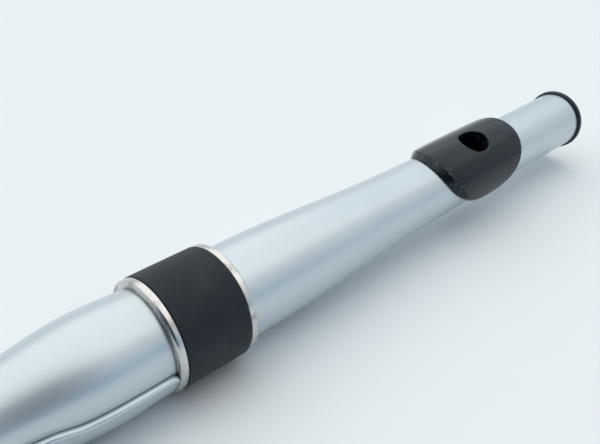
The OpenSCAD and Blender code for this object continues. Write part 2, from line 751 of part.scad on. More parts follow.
module post_web(eye, r) {
    edge = r * [cos(web_turn), -sin(web_turn)];
    translate(eye) circle(r = r);
    polygon([web_low, eye + edge, eye - edge, web_high]);
}

module post(x, with_main, trill_eye_r, spring_up, trill_spring) difference() {
    sliced(x - post_w / 2, x + post_w / 2) difference() {
        union() {
            if (with_main) post_web(hinge, post_r);
            if (trill_eye_r > 0) post_web(trill_hinge, trill_post_r);
            if (spring_up != 0) translate(spring_at(hinge, -1, spring_up)) circle(r = spring_r + spring_wall);
        }
        circle(r = tube_r);
        translate([0, shell_wall / 2 + end_play - shell_drop - 2 * barrel_r])
            square([tube_r + shell_wall + end_play, 2 * barrel_r]);
    }
    if (with_main) drill(hinge, x - post_w, x + post_w, rod_r);
    if (trill_eye_r > 0) drill(trill_hinge, x - post_w, x + post_w, trill_eye_r);
    if (spring_up != 0) drill(spring_at(hinge, -1, spring_up), x - post_w, x + post_w, spring_r);
    if (trill_spring) drill(spring_at(trill_hinge, 1, -1), x - post_w, x + post_w, spring_r);
}

function spring_side(n) = n == g_sharp || n == e_flat ? 1 : -1;

module key_posts() color(pearl) {
    for (i = [0 : len(main_posts) - 1])
        post(main_posts[i], true, (i <= d_tube_post ? rod_r : trill_tube_r) + run_gap,
             i == 0 ? 0 : spring_side(i - 1 + d), false);
    for (x = [trill_mid_x, trill_top_x]) post(x, false, rod_r + run_gap, 0, true);
}

module main_rod() color(steel) rod(hinge, main_posts[0] - post_w / 2, top_post_x + post_w / 2, rod_r);

module trill_rod() color(steel) rod(trill_hinge, main_posts[0] - post_w / 2, trill_top_x + post_w / 2, rod_r);

module needle(axis, x_post, out, up)
    rod(spring_at(axis, out, up), x_post - post_w / 2 - spring_len, x_post + post_w / 2, spring_r);

module key_springs() color(steel) {
    for (i = [1 : len(main_posts) - 1]) needle(hinge, main_posts[i], -1, spring_side(i - 1 + d));
    for (x = [trill_mid_x, trill_top_x]) needle(trill_hinge, x, 1, -1);
}

// Foot joint
foot_flare = 4;
function foot_r(x) = blend(tube_r, foot_root_r, smooth((x - foot_tenon_x + foot_flare) / foot_flare));

module foot_tube() color(pearl) {
    edge = foot_round;
    holed_tube(concat(
        [[bore_r - stock, 0]], arc([foot_bead_r - edge, edge], edge, -90, 0),
        arc([foot_bead_r - edge, foot_bead_w - edge], edge, 0, 90), [[tube_r, foot_bead_w]],
        [for (x = spread(foot_tenon_x - foot_flare, foot_tenon_x)) [foot_r(x), x]],
        arc([foot_root_r - edge, foot_x - edge], edge, 0, 90),
        [[foot_socket_r, foot_x], [foot_socket_r, foot_tenon_x], [bore_r - stock, foot_tenon_x]]),
        foot_holes, foot_bore_r);
}

module foot_oring() color(silicone) seal(foot_seal_x, foot_seal_r, foot_oring_t);

module foot_posts() color(pearl) difference() {
    union() {
        for (i = [0 : 2])
            post(foot_posts_x[i], true, 0, i == 0 ? 0 : spring_side(i - 1 + low_c_sharp), false);
        for (i = [0 : 1]) mirror([0, 1, 0]) post(low_c_posts_x[i], true, 0, i == 0 ? 0 : -1, false);
    }
    drill([0, 0], foot_tenon_x - foot_flare, foot_x, foot_root_r);
}

module foot_rod() color(steel) rod(hinge, foot_posts_x[0] - post_w / 2, foot_posts_x[2] + post_w / 2, rod_r);

module low_c_rod() color(steel)
    mirror([0, 1, 0]) rod(hinge, low_c_posts_x[0] - post_w / 2, low_c_posts_x[1] + post_w / 2, rod_r);

module foot_springs() color(steel) {
    for (i = [1 : 2]) needle(hinge, foot_posts_x[i], -1, spring_side(i - 1 + low_c_sharp));
    mirror([0, 1, 0]) needle(hinge, low_c_posts_x[1], -1, -1);
}

module e_flat_key() hinged_key(e_flat, hole_d, bay(foot_posts_x, 1), 0)
    lever(hinge, bay(foot_posts_x, 1)[0], lever_w, lever_lift);

module low_c_sharp_key() hinged_key(low_c_sharp, hole_d, bay(foot_posts_x, 0), key_open);

// Finger plate of the lowest key, carried over the tube from the far side
module low_c_touch() {
    x = between(low_c_sharp);
    about(hinge, -key_open) {
        sliced(x - touch_w / 2, x + touch_w / 2)
            strap([hinge, [hinge[0], cup_top_z], [0, cup_top_z]], arm_t);
        translate([x, 0, cup_top_z - arm_t / 2]) cylinder(r = touch_r, h = arm_t);
    }
}

module low_c_key()
    mirror([0, 1, 0]) hinged_key(low_c, hole_d, bay(low_c_posts_x, 0), key_open) low_c_touch();

module e_flat_pad() pad_on_arm(e_flat, hole_d, hinge, 0);

module low_c_sharp_pad() pad_on_arm(low_c_sharp, hole_d, hinge, key_open);

module low_c_pad() mirror([0, 1, 0]) pad_on_arm(low_c, hole_d, hinge, key_open);

head_tube();
lip_plate();
crown();
head_stopper();
stopper_seal();
tenon_orings();
head_ring();
grip_sleeve();
body_ring();
body_tube();
lower_shell();
thumb_rest();
key_posts();
main_rod();
trill_rod();
key_springs();
c_sharp_key();
thumb_key();
b_flat_key();
a_key();
g_key();
g_sharp_key();
f_sharp_key();
f_key();
e_key();
d_key();
d_trill_tube();
d_trill_key();
d_trill_touch();
d_sharp_trill_key();
d_sharp_touch();
c_sharp_pad();
thumb_pad();
b_flat_pad();
a_pad();
g_pad();
g_sharp_pad();
f_sharp_pad();
f_pad();
e_pad();
d_pad();
d_trill_pad();
d_sharp_trill_pad();
foot_tube();
foot_oring();
foot_posts();
foot_rod();
low_c_rod();
foot_springs();
e_flat_key();
low_c_sharp_key();
low_c_key();
e_flat_pad();
low_c_sharp_pad();
low_c_pad();
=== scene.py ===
import json
from math import asin, atan2, copysign, cos, exp, hypot, pi, radians, sin, sqrt
import bmesh
import bpy
from mathutils import Matrix, Vector

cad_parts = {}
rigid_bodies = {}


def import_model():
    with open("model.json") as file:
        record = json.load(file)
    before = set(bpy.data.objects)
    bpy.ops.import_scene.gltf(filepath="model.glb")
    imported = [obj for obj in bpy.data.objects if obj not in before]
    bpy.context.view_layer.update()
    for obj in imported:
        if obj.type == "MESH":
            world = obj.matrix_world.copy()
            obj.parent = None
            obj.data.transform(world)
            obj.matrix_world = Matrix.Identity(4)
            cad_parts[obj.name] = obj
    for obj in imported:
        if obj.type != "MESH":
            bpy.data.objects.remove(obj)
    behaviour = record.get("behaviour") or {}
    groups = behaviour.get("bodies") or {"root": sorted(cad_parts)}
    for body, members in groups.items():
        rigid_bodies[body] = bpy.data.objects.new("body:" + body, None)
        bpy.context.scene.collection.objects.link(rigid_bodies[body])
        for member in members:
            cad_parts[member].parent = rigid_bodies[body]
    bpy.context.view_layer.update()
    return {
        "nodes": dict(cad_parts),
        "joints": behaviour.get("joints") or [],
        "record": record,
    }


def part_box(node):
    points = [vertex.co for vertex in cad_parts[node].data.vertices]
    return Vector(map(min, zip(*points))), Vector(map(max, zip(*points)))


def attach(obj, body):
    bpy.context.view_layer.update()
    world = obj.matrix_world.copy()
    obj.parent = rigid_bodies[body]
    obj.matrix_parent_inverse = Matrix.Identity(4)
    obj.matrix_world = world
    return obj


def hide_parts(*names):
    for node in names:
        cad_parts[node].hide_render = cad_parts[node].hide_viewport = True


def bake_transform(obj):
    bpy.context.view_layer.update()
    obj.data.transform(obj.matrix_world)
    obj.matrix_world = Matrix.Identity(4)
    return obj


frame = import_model()

mm = 0.001  # the sizes below are in millimetres


def span(node):  # a node's lowest and highest corners
    low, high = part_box(node)
    return low / mm, high / mm


def paired(operation):  # an operator and its reflected form
    def plain(self, other):
        return self.maths(operation, self, other)

    def reflected(self, other):
        return self.maths(operation, other, self)

    return plain, reflected


class Wire:  # a socket that can be added, multiplied and so on
    def __init__(self, tree, socket=None):
        self.tree = tree
        self.socket = socket

    def node(self, kind, inputs=None, out=0, **settings):
        made = self.tree.nodes.new(kind)
        for key, value in settings.items():
            setattr(made, key, value)
        for key, value in (inputs or {}).items():
            if isinstance(value, Wire):
                self.tree.links.new(value.socket, made.inputs[key])
            else:
                made.inputs[key].default_value = value
        return Wire(self.tree, made.outputs[out] if made.outputs else None)

    def maths(self, operation, *values):
        return self.node("ShaderNodeMath", dict(enumerate(values)), operation=operation)

    __add__, __radd__ = paired("ADD")
    __sub__, __rsub__ = paired("SUBTRACT")
    __mul__, __rmul__ = paired("MULTIPLY")
    __truediv__, __rtruediv__ = paired("DIVIDE")
    __pow__, __rpow__ = paired("POWER")


# Finishes

def startFinish(name, constants):
    made = bpy.data.materials.new(name)
    made.use_nodes = True
    shader = made.node_tree.nodes["Principled BSDF"]
    for key, value in constants.items():
        shader.inputs[key].default_value = value
    wire = Wire(made.node_tree)
    return made, shader, wire, wire.node("ShaderNodeTexCoord", out="Object")


def feed(shader, **links):
    for key, wire in links.items():
        wire.tree.links.new(wire.socket, shader.inputs[key.replace("_", " ")])


def noise(wire, place, size, detail=3.0, rough=0.5):  # size of a blotch in mm
    return wire.node("ShaderNodeTexNoise", {"Vector": place, "Scale": 1 / (size * mm), "Detail": detail,
                                            "Roughness": rough})


def cells(wire, place, size):  # one random value for each flake
    colour = wire.node("ShaderNodeTexVoronoi", {"Vector": place, "Scale": 1 / (size * mm)}, out="Color")
    return wire.node("ShaderNodeSeparateColor", {"Color": colour})


def stretched(wire, place, along, across):  # longer along the bore, or round it
    return wire.node("ShaderNodeMapping", {"Vector": place, "Scale": (1 / along, 1 / across, 1 / across)})


def mixed(wire, first, second, amount):
    return wire.node("ShaderNodeMix", {0: amount, 6: first, 7: second}, out=2, data_type="RGBA")


def ramp(wire, value, low, high):  # 0 below low, 1 above high
    return wire.node("ShaderNodeMapRange", {"Value": value, "From Min": low, "From Max": high},
                     interpolation_type="SMOOTHSTEP")


def bump(wire, height, depth, strength=0.5):
    return wire.node("ShaderNodeBump", {"Height": height, "Distance": depth * mm, "Strength": strength})


# the sizes of flakes, clouds, grain, scuffs and spots are in mm
# the bore colour darkens the tubes' inside: painted shade, so the bore reads black
pearl = {"light": (0.59, 0.665, 0.705, 1), "deep": (0.53, 0.60, 0.64, 1), "bore": (0.10, 0.105, 0.11, 1),
         "metal": 0.65, "rough": 0.33, "flake": 0.12, "flow": 14.0, "scuff": 1.6, "grain": 0.9}
keyLook = {**pearl, "light": (0.63, 0.69, 0.73, 1), "rough": 0.31}


def pearlFinish(name, look):
    made, shader, wire, place = startFinish(name, {"Metallic": look["metal"], "IOR": 1.5, "Coat Weight": 0.1,
                                                   "Coat Roughness": 0.2})
    flake = cells(wire, place, look["flake"])
    flow = noise(wire, place, look["flow"], 4.0)
    scuff = noise(wire, stretched(wire, place, 6.0, 0.5), look["scuff"], 5.0, 0.65)
    # painted shade: points in the bore take the dark bore colour and more roughness
    inside = wire.node("ShaderNodeAttribute", attribute_name="bore", out="Fac")
    coated = mixed(wire, look["light"], look["deep"], flow * 0.8 + flake * 0.2)
    feed(shader, Base_Color=mixed(wire, coated, look["bore"], inside),
         Roughness=look["rough"] - 0.03 + flake * 0.02 + ramp(wire, scuff, 0.56, 0.72) * 0.05 + inside * 0.2,
         Normal=bump(wire, noise(wire, place, look["grain"], 2.0), 0.004))
    return made


# the lighter colour below is for worn marks on the lip plate, which also paint glints on its crease, bevel
# face and mouth rim: partly wear, partly painted highlight
smoke = {"base": (0.005, 0.008, 0.0125, 1), "haze": (0.009, 0.0135, 0.0195, 1), "worn": (0.20, 0.20, 0.19, 1),
         "rough": 0.14, "cloud": 9.0, "nick": 1.3, "grain": 0.5}
crownLook = {**smoke, "base": (0.016, 0.023, 0.036, 1), "haze": (0.032, 0.042, 0.056, 1),
             "worn": (0.12, 0.14, 0.17, 1), "rough": 0.30}


def smokeFinish(name, look):
    made, shader, wire, place = startFinish(name, {"IOR": 1.40, "Specular Tint": (0.74, 0.88, 1, 1)})
    haze = ramp(wire, noise(wire, place, look["cloud"], 4.0), 0.45, 0.75)
    fine = ramp(wire, noise(wire, stretched(wire, place, 3.0, 0.4), 0.8, 5.0, 0.7), 0.58, 0.75)
    # worn marks, lighter, rougher and dented, which also paint glints: partly wear, partly painted highlight
    wearAndGlintMask = wire.node("ShaderNodeAttribute", attribute_name="wear", out="Fac")
    nicksAndGlints = wearAndGlintMask * ramp(wire, noise(wire, place, look["nick"], 4.0, 0.7), 0.52, 0.66)
    plain = mixed(wire, look["base"], look["haze"], haze * 0.5 + fine * 0.3)
    feed(shader, Base_Color=mixed(wire, plain, look["worn"], nicksAndGlints),
         Roughness=look["rough"] + haze * 0.06 + fine * 0.08 + nicksAndGlints * 0.25,
         Normal=bump(wire, noise(wire, place, look["grain"], 2.0) - nicksAndGlints, 0.004))
    return made


# the brownish dull patches are partly tarnish, partly painted reflection of brownish surroundings
nickel = {"bright": (0.60, 0.60, 0.59, 1), "dull": (0.29, 0.255, 0.22, 1), "rough": 0.2, "tarnishAndReflection": 5.5,
          "pit": 0.6}


def nickelFinish(name, look):
    made, shader, wire, place = startFinish(name, {"Metallic": 1.0})
    lines = noise(wire, stretched(wire, place, 0.08, 6.0), 1.0, 3.0)
    # patches of the dull colour: partly tarnish, partly painted reflection
    tarnishAndReflection = ramp(wire, noise(wire, place, look["tarnishAndReflection"], 3.0, 0.6), 0.50, 0.66)
    pits = ramp(wire, noise(wire, place, look["pit"], 2.0), 0.66, 0.76)
    feed(shader, Base_Color=mixed(wire, look["bright"], look["dull"], tarnishAndReflection * 0.55 + pits * 0.3),
         Roughness=look["rough"] + lines * 0.08 + tarnishAndReflection * 0.14,
         Normal=bump(wire, lines, 0.004))
    return made


steel = {"bright": (0.66, 0.67, 0.68, 1), "dull": (0.42, 0.42, 0.42, 1), "rough": 0.22, "spot": 2.5}


def steelFinish(name, look):
    made, shader, wire, place = startFinish(name, {"Metallic": 1.0})
    drawn = noise(wire, stretched(wire, place, 12.0, 0.12), 1.0, 3.0)
    spots = ramp(wire, noise(wire, place, look["spot"], 4.0), 0.55, 0.8)
    feed(shader, Base_Color=mixed(wire, look["bright"], look["dull"], drawn * 0.35 + spots * 0.3),
         Roughness=look["rough"] + drawn * 0.16 + spots * 0.1,
         Normal=bump(wire, drawn, 0.003))
    return made


rubber = {"base": (0.006, 0.009, 0.0145, 1), "dust": (0.018, 0.022, 0.029, 1), "rough": 0.58, "grain": 0.22,
          "cloud": 7.0, "speck": 0.35}
sealLook = {**rubber, "base": (0.022, 0.022, 0.024, 1), "dust": (0.035, 0.035, 0.037, 1), "rough": 0.45,
            "grain": 0.5}
padLook = {**rubber, "base": (0.040, 0.041, 0.045, 1), "dust": (0.060, 0.060, 0.064, 1), "rough": 0.38,
           "grain": 0.6}


def rubberFinish(name, look):
    made, shader, wire, place = startFinish(name, {"IOR": 1.46, "Specular Tint": (0.78, 0.91, 1, 1),
                                                   "Sheen Weight": 0.05, "Sheen Roughness": 0.5})
    grain = noise(wire, place, look["grain"], 3.0, 0.6)
    cloud = noise(wire, place, look["cloud"], 4.0)
    specks = ramp(wire, noise(wire, place, look["speck"], 1.0), 0.70, 0.78)
    dusty = ramp(wire, cloud, 0.4, 0.8) * 0.4 + specks * 0.4
    feed(shader, Base_Color=mixed(wire, look["base"], look["dust"], dusty),
         Roughness=look["rough"] + grain * 0.14 - ramp(wire, cloud, 0.45, 0.75) * 0.06,
         Normal=bump(wire, grain, 0.03, 0.6))
    return made


finishes = {
    "pearl_plastic": pearlFinish("pearlPlastic", pearl),
    "key_plastic": pearlFinish("keyPlastic", keyLook),
    "smoke_plastic": smokeFinish("smokePlastic", smoke),
    "crown_plastic": smokeFinish("crownPlastic", crownLook),
    "nickel_ring": nickelFinish("nickelRing", nickel),
    "grip_rubber": rubberFinish("gripRubber", rubber),
    "seal_rubber": rubberFinish("sealRubber", sealLook),
    "pad_silicone": rubberFinish("padSilicone", padLook),
    "rod_steel": steelFinish("rodSteel", steel),
}
slotOf = {part["node"]: part["material_slot"] for part in frame["record"]["subparts"]}
for node, part in frame["nodes"].items():  # the CAD nodes that stay
    part.data.materials.clear()
    part.data.materials.append(finishes[slotOf[node]])
print("finishes:", len(finishes))


# Shells: closed lists of points and faces

# facets round each kind of piece
sides = {"tube": 160, "end": 128, "cup": 80, "hole": 72, "rod": 40, "needle": 16}
weld = {"doubles": 0.003, "slivers": 0.001}


def turned(outline, segments=64, loop=True):
    # outline of (x, radius); without loop it starts and ends on the axis
    points, rings, faces = [], [], []
    for x, r in outline:
        count = segments if r > 1e-6 else 1
        rings.append([len(points) + i for i in range(count)])
        for i in range(count):
            turn = 2 * pi * i / segments
            points.append(Vector((x, r * sin(turn), r * cos(turn))))
    for one, two in list(zip(rings, rings[1:])) + ([(rings[-1], rings[0])] if loop else []):
        for i in range(segments):
            j = (i + 1) % segments
            face = [one[i % len(one)], one[j % len(one)], two[j % len(two)], two[i % len(two)]]
            face = list(dict.fromkeys(face))
            if len(face) > 2:
                faces.append(face)
    return points, faces


def lofted(rings, loop=False):  # through equal closed rings
    count = len(rings[0])
    points = [Vector(p) for ring in rings for p in ring]
    faces = []
    for k in range(len(rings) if loop else len(rings) - 1):
        a, b = k * count, (k + 1) % len(rings) * count
        for i in range(count):
            j = (i + 1) % count
            faces.append([a + i, a + j, b + j, b + i])
    if not loop:
        last = (len(rings) - 1) * count
        faces += [list(range(count))[::-1], list(range(last, last + count))]
    return points, faces


def moved(shell, matrix):
    return [matrix @ p for p in shell[0]], shell[1]


def volume(shell):
    points, faces = shell
    return sum(points[f[0]].dot(points[f[i]].cross(points[f[i + 1]]))
               for f in faces for i in range(1, len(f) - 1))


def asMesh(shape):  # a shell becomes a mesh in metres
    if not isinstance(shape, tuple):
        return shape
    points, faces = shape
    if volume(shape) < 0:
        faces = [face[::-1] for face in faces]
    mesh = bpy.data.meshes.new("shell")
    mesh.from_pydata([p * mm for p in points], [], faces)
    return mesh


def loose(mesh):
    made = bpy.data.objects.new(mesh.name, mesh)
    bpy.context.scene.collection.objects.link(made)
    return made


def plainMesh(thing):
    graph = bpy.context.evaluated_depsgraph_get()
    return bpy.data.meshes.new_from_object(thing.evaluated_get(graph))


def join(shape):
    return "UNION", shape


def take(shape):
    return "DIFFERENCE", shape


def carved(shape, *steps):  # each step joins a shape on or takes it away
    base = loose(asMesh(shape))
    tools = []
    for operation, tool in steps:
        tools.append(loose(asMesh(tool)))
        cut = base.modifiers.new(operation, "BOOLEAN")
        cut.operation, cut.solver, cut.object = operation, "EXACT", tools[-1]
    made = plainMesh(base)
    for thing in [base, *tools]:
        bpy.data.objects.remove(thing)
    work = bmesh.new()  # slivers that a cut leaves are closed up
    work.from_mesh(made)
    bmesh.ops.remove_doubles(work, verts=work.verts, dist=weld["doubles"] * mm)
    bmesh.ops.dissolve_degenerate(work, edges=work.edges, dist=weld["slivers"] * mm)
    seen = {}
    for face in work.faces:
        seen.setdefault(frozenset(face.verts), []).append(face)
    twins = [face for same in seen.values() if len(same) > 1 for face in same]
    bmesh.ops.delete(work, geom=twins, context="FACES")
    work.to_mesh(made)
    work.free()
    return made


def addPiece(name, shape, body, *nodes, sharp=38):
    mesh = asMesh(shape)
    mesh.name = name
    mesh.materials.clear()
    mesh.materials.append(finishes[slotOf[nodes[0]]])
    mesh.shade_smooth()
    mesh.set_sharp_from_angle(angle=radians(sharp))
    piece = loose(mesh)
    piece.name = name
    if body:  # a spring bends between two bodies
        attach(piece, body)
    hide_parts(*nodes)
    return piece


def markShadedBore(mesh, r, slack=0.05):  # the inside, painted dark grey as painted shade
    marks = mesh.attributes.new("bore", "FLOAT", "POINT")
    inside = [1.0 if hypot(v.co.y, v.co.z) < (r + slack) * mm else 0.0 for v in mesh.vertices]
    marks.data.foreach_set("value", inside)
    return mesh


def spread(low, high, count):
    return [low + (high - low) * i / count for i in range(count + 1)]


def ease(low, high, value):  # smooth step from 0 to 1
    t = min(1, max(0, (value - low) / (high - low)))
    return t * t * (3 - 2 * t)


def stepped(start, steps, x):  # a value that changes smoothly over stretches of (change, from, to)
    return start + sum(change * ease(low, high, x) for change, low, high in steps)


def rising(x, r, edge, steps=6):  # quarter round from an end face at x up to radius r
    turns = spread(0, pi / 2, steps)
    return [(x + edge * (1 - cos(a)), r - edge * (1 - sin(a))) for a in turns]


def falling(x, r, edge, steps=6):  # quarter round from radius r down to an end face at x
    turns = spread(pi / 2, 0, steps)
    return [(x - edge * (1 - cos(a)), r - edge * (1 - sin(a))) for a in turns]


def groove(x, half, deep, r):  # square groove for a seal
    return [(x - half, r), (x - half, deep), (x + half, deep), (x + half, r)]


def dished(x, deep, r, steps):  # shallow hollow from radius r in to the axis
    return [(x - deep * (1 - (k / steps) ** 2), r * k / steps) for k in range(steps, -1, -1)]


def cylinder(x0, x1, r, edge=0.0, segments=48):
    ends = ([(x0, r - edge), (x0 + edge, r), (x1 - edge, r), (x1, r - edge)] if edge else [(x0, r), (x1, r)])
    return turned([(x0, 0), *ends, (x1, 0)], segments, loop=False)


def block(size, edge=0.01):  # a box round the origin with chamfered edges
    half = Vector(size) / 2
    rings = []
    for x, inset in ((-half.x, edge), (edge - half.x, 0), (half.x - edge, 0), (half.x, edge)):
        y, z = half.y - inset, half.z - inset
        rings.append([(x, y - edge, z), (x, y, z - edge), (x, y, edge - z), (x, y - edge, -z),
                      (x, edge - y, -z), (x, -y, edge - z), (x, -y, z - edge), (x, edge - y, z)])
    return lofted(rings)


def bezier(a, b, c, t):
    return a * (1 - t) ** 2 + b * (2 * t * (1 - t)) + c * t ** 2


def strap(x, path, wide, thick, edge):
    # rounded bar along a path of (y, z) points; wide and thick follow the share of its points
    rings = []
    for i, p in enumerate(path):
        way = (path[min(len(path) - 1, i + 1)] - path[max(0, i - 1)]).normalized()
        t = i / (len(path) - 1)
        w, h = wide(t) / 2, thick(t) / 2
        e = min(edge, w * 0.8, h * 0.8)
        ring = []
        for sx, sy, start in ((1, 1, 0), (-1, 1, 90), (-1, -1, 180), (1, -1, 270)):
            for a in spread(radians(start), radians(start + 90), 4):
                u, v = sx * (w - e) + e * cos(a), sy * (h - e) + e * sin(a)
                ring.append((x + u, p.x + way.y * v, p.y - way.x * v))
        rings.append(ring)
    return lofted(rings)


upright = Matrix.Rotation(-pi / 2, 4, "Y")  # stands up what runs along the bore


def shift(x=0.0, y=0.0, z=0.0):
    return Matrix.Translation((x, y, z))


# Geometry nodes

def startTree(name, sizes):
    tree = bpy.data.node_groups.new(name, "GeometryNodeTree")
    tree.interface.new_socket("Geometry", in_out="INPUT", socket_type="NodeSocketGeometry")
    for label, kind in sizes.items():
        tree.interface.new_socket(label, in_out="INPUT", socket_type="NodeSocket" + kind)
    tree.interface.new_socket("Geometry", in_out="OUTPUT", socket_type="NodeSocketGeometry")
    entry = tree.nodes.new("NodeGroupInput")
    return tree, Wire(tree), {plug.name: Wire(tree, plug) for plug in entry.outputs if plug.name}


def endTree(wire, spots, sizes):  # the shape on every spot
    shape = wire.node("GeometryNodeObjectInfo", {"Object": sizes["Shape"]}, out="Geometry")
    copies = wire.node("GeometryNodeInstanceOnPoints", {"Points": spots, "Instance": shape})
    plain = wire.node("GeometryNodeRealizeInstances", {"Geometry": copies})
    dressed = wire.node("GeometryNodeSetMaterial", {"Geometry": plain, "Material": sizes["Material"]})
    wire.node("NodeGroupOutput", {0: dressed})


# one shape for each note, half a wavelength from the mouth, less the end correction
toneRow, wire, sizes = startTree("toneRow", {
    "Shape": "Object", "Material": "Material", "First": "Int", "Count": "Int", "Mouth": "Float",
    "Low Note": "Float", "Sound Speed": "Float", "End Correction": "Float"})
note = wire.node("GeometryNodeInputIndex") + sizes["First"]
halfWave = sizes["Sound Speed"] * 0.5 / (sizes["Low Note"] * (2.0 ** (note / 12)))
place = wire.node("ShaderNodeCombineXYZ", {"X": sizes["Mouth"] - halfWave + sizes["End Correction"]})
endTree(wire, wire.node("GeometryNodePoints", {"Count": sizes["Count"], "Position": place}), sizes)

# one shape at each of the points given
pointRow, wire, sizes = startTree("pointRow", {"Shape": "Object", "Material": "Material"})
endTree(wire, wire.node("GeometryNodeMeshToPoints", {"Mesh": sizes["Geometry"]}), sizes)


def repeated(tree, shell, slot, points=(), values=None):
    shape = loose(asMesh(shell))
    seed = bpy.data.meshes.new("row")
    seed.from_pydata([Vector(p) * mm for p in points], [], [])
    row = loose(seed)
    grow = row.modifiers.new("row", "NODES")
    grow.node_group = tree
    settings = {"Shape": shape, "Material": finishes[slot], **(values or {})}
    for item in tree.interface.items_tree:
        if item.in_out == "INPUT" and item.name in settings:
            grow[item.identifier] = settings[item.name]
    made = plainMesh(row)
    row.modifiers.remove(grow)
    for thing in (row, shape):
        bpy.data.objects.remove(thing)
    return made


print("node trees:", len(bpy.data.node_groups))

# Camera, floor and light

sleeveLow, sleeveHigh = span("grip_sleeve")
camera = {"offset": (-78.77, -144.22, 137.76), "right": (0.73041, -0.68300, 0.0),
          "up": (0.36557, 0.39095, 0.84470), "lens": 45.0, "sensor": 36.0}
floor = {"height": -17.5, "reach": 30000.0, "colour": (0.85, 0.905, 0.94, 1), "patch": 90.0, "shade": 0.985}
# a white dome over a pale far side and a blue near side, with a greyer patch towards the crown's end,
# a dark patch left of the camera and a wide lamp overhead
light = {"zenith": (1.01, 0.995, 0.965, 1), "rise": 0.70, "near": (0.08, 0.30, 0.54, 1),
         "far": (0.68, 0.77, 0.82, 1), "farFrom": (0.62, 0.78, 0.0), "farEdge": (-0.95, 0.20),
         "end": (0.50, 0.61, 0.67, 1), "endFrom": (0.93, 0.15, 0.33), "endEdge": (0.80, 0.99),
         "dim": (0.04, 0.06, 0.095, 1), "dimFrom": (-0.66, -0.64, 0.40), "dimEdge": (0.52, 0.84),
         "lamp": 0.85, "lampAngle": 100.0, "lampFrom": (0.22, 0.18, 0.96)}


def setStage():
    lens = bpy.data.cameras.new("photoCamera")
    lens.lens, lens.sensor_width, lens.sensor_fit = camera["lens"], camera["sensor"], "HORIZONTAL"
    lens.clip_start, lens.clip_end = 0.01, 100
    eye = bpy.data.objects.new("photoCamera", lens)
    right, up = Vector(camera["right"]).normalized(), Vector(camera["up"]).normalized()
    turn = Matrix((right, up, right.cross(up))).transposed().to_4x4()
    spot = Vector((sleeveLow.x, 0, 0)) + Vector(camera["offset"])
    eye.matrix_world = Matrix.Translation(spot * mm) @ turn
    bpy.context.scene.collection.objects.link(eye)
    bpy.context.scene.camera = eye

    paint, shader, wire, place = startFinish("floorPaint", {"Roughness": 0.75, "Specular IOR Level": 0.2})
    soft = noise(wire, place, floor["patch"], 2.0)
    shaded = tuple(c * floor["shade"] for c in floor["colour"])
    feed(shader, Base_Color=mixed(wire, floor["colour"], shaded, soft))
    side = floor["reach"]
    corners = [(side * x, side * y, floor["height"]) for x, y in ((-1, -1), (1, -1), (1, 1), (-1, 1))]
    plate = bpy.data.meshes.new("floor")
    plate.from_pydata([Vector(p) * mm for p in corners], [], [[0, 1, 2, 3]])
    plate.materials.append(paint)
    loose(plate)

    sun = bpy.data.lights.new("overhead", "SUN")
    sun.energy, sun.angle = light["lamp"], radians(light["lampAngle"])
    lamp = bpy.data.objects.new("overhead", sun)
    lamp.rotation_euler = Vector(light["lampFrom"]).to_track_quat("Z", "Y").to_euler()
    bpy.context.scene.collection.objects.link(lamp)

    sky = bpy.data.worlds.new("sky")
    sky.use_nodes = True
    sky.node_tree.nodes.clear()
    wire = Wire(sky.node_tree)
    way = wire.node("ShaderNodeTexCoord", out="Generated")

    def facing(name):  # 1 towards a side of the room, 0 away from it
        side = Vector(light[name + "From"]).normalized()
        share = wire.node("ShaderNodeVectorMath", {0: way, 1: side}, out="Value", operation="DOT_PRODUCT")
        return ramp(wire, share, *light[name + "Edge"])

    height = wire.node("ShaderNodeSeparateXYZ", {"Vector": way}, out="Z")
    walls = mixed(wire, light["near"], light["far"], facing("far"))
    dome = mixed(wire, walls, light["zenith"], ramp(wire, height, 0.0, light["rise"]))
    glow = mixed(wire, mixed(wire, dome, light["end"], facing("end")), light["dim"], facing("dim"))
    wire.node("ShaderNodeOutputWorld", {"Surface": wire.node("ShaderNodeBackground", {"Color": glow})})
    bpy.context.scene.world = sky
    bpy.context.scene.view_settings.view_transform = "Standard"


setStage()
print("stage set")

# Head joint

head = {"bore": 9.5, "stopperBore": 8.5, "tenon": 12.9, "sealFloor": 10.47, "sealHalf": 1.24,
        "sealInset": 7.0, "home": 0.3, "edge": 0.6, "chamfer": 0.4, "endLong": 0.3, "endDrop": 0.25,
        "stopper": 17.0, "mouth": (12.4, 10.8), "mouthFit": 1.0, "mouthTilt": 16.0, "mouthShift": 1.2,
        "mouthCut": 40.0,
        # radius at the barrel, and how it changes, measured from the sleeve's lower edge
        "barrel": 14.98, "steps": [(-2.78, 31.5, 109.0), (-0.75, 100.0, 152.0)]}
barrelX = span("head_ring")[1].x
lipLow, lipHigh = span("lip_plate")
lipMiddle = (lipLow.x + lipHigh.x) / 2
mouthX = lipMiddle + head["mouthShift"]
tilt = Matrix.Rotation(radians(head["mouthTilt"]), 4, "X")


def headRadius(x):
    return stepped(head["barrel"], head["steps"], x - sleeveLow.x)


def mouthEdge(psi, grow=0.0):  # the embouchure's outline from its centre
    length, width = head["mouth"]
    straight, r = (length - width) / 2, width / 2 + grow
    return straight * min(1, max(-1, 3 * cos(psi))) + r * cos(psi), r * sin(psi)


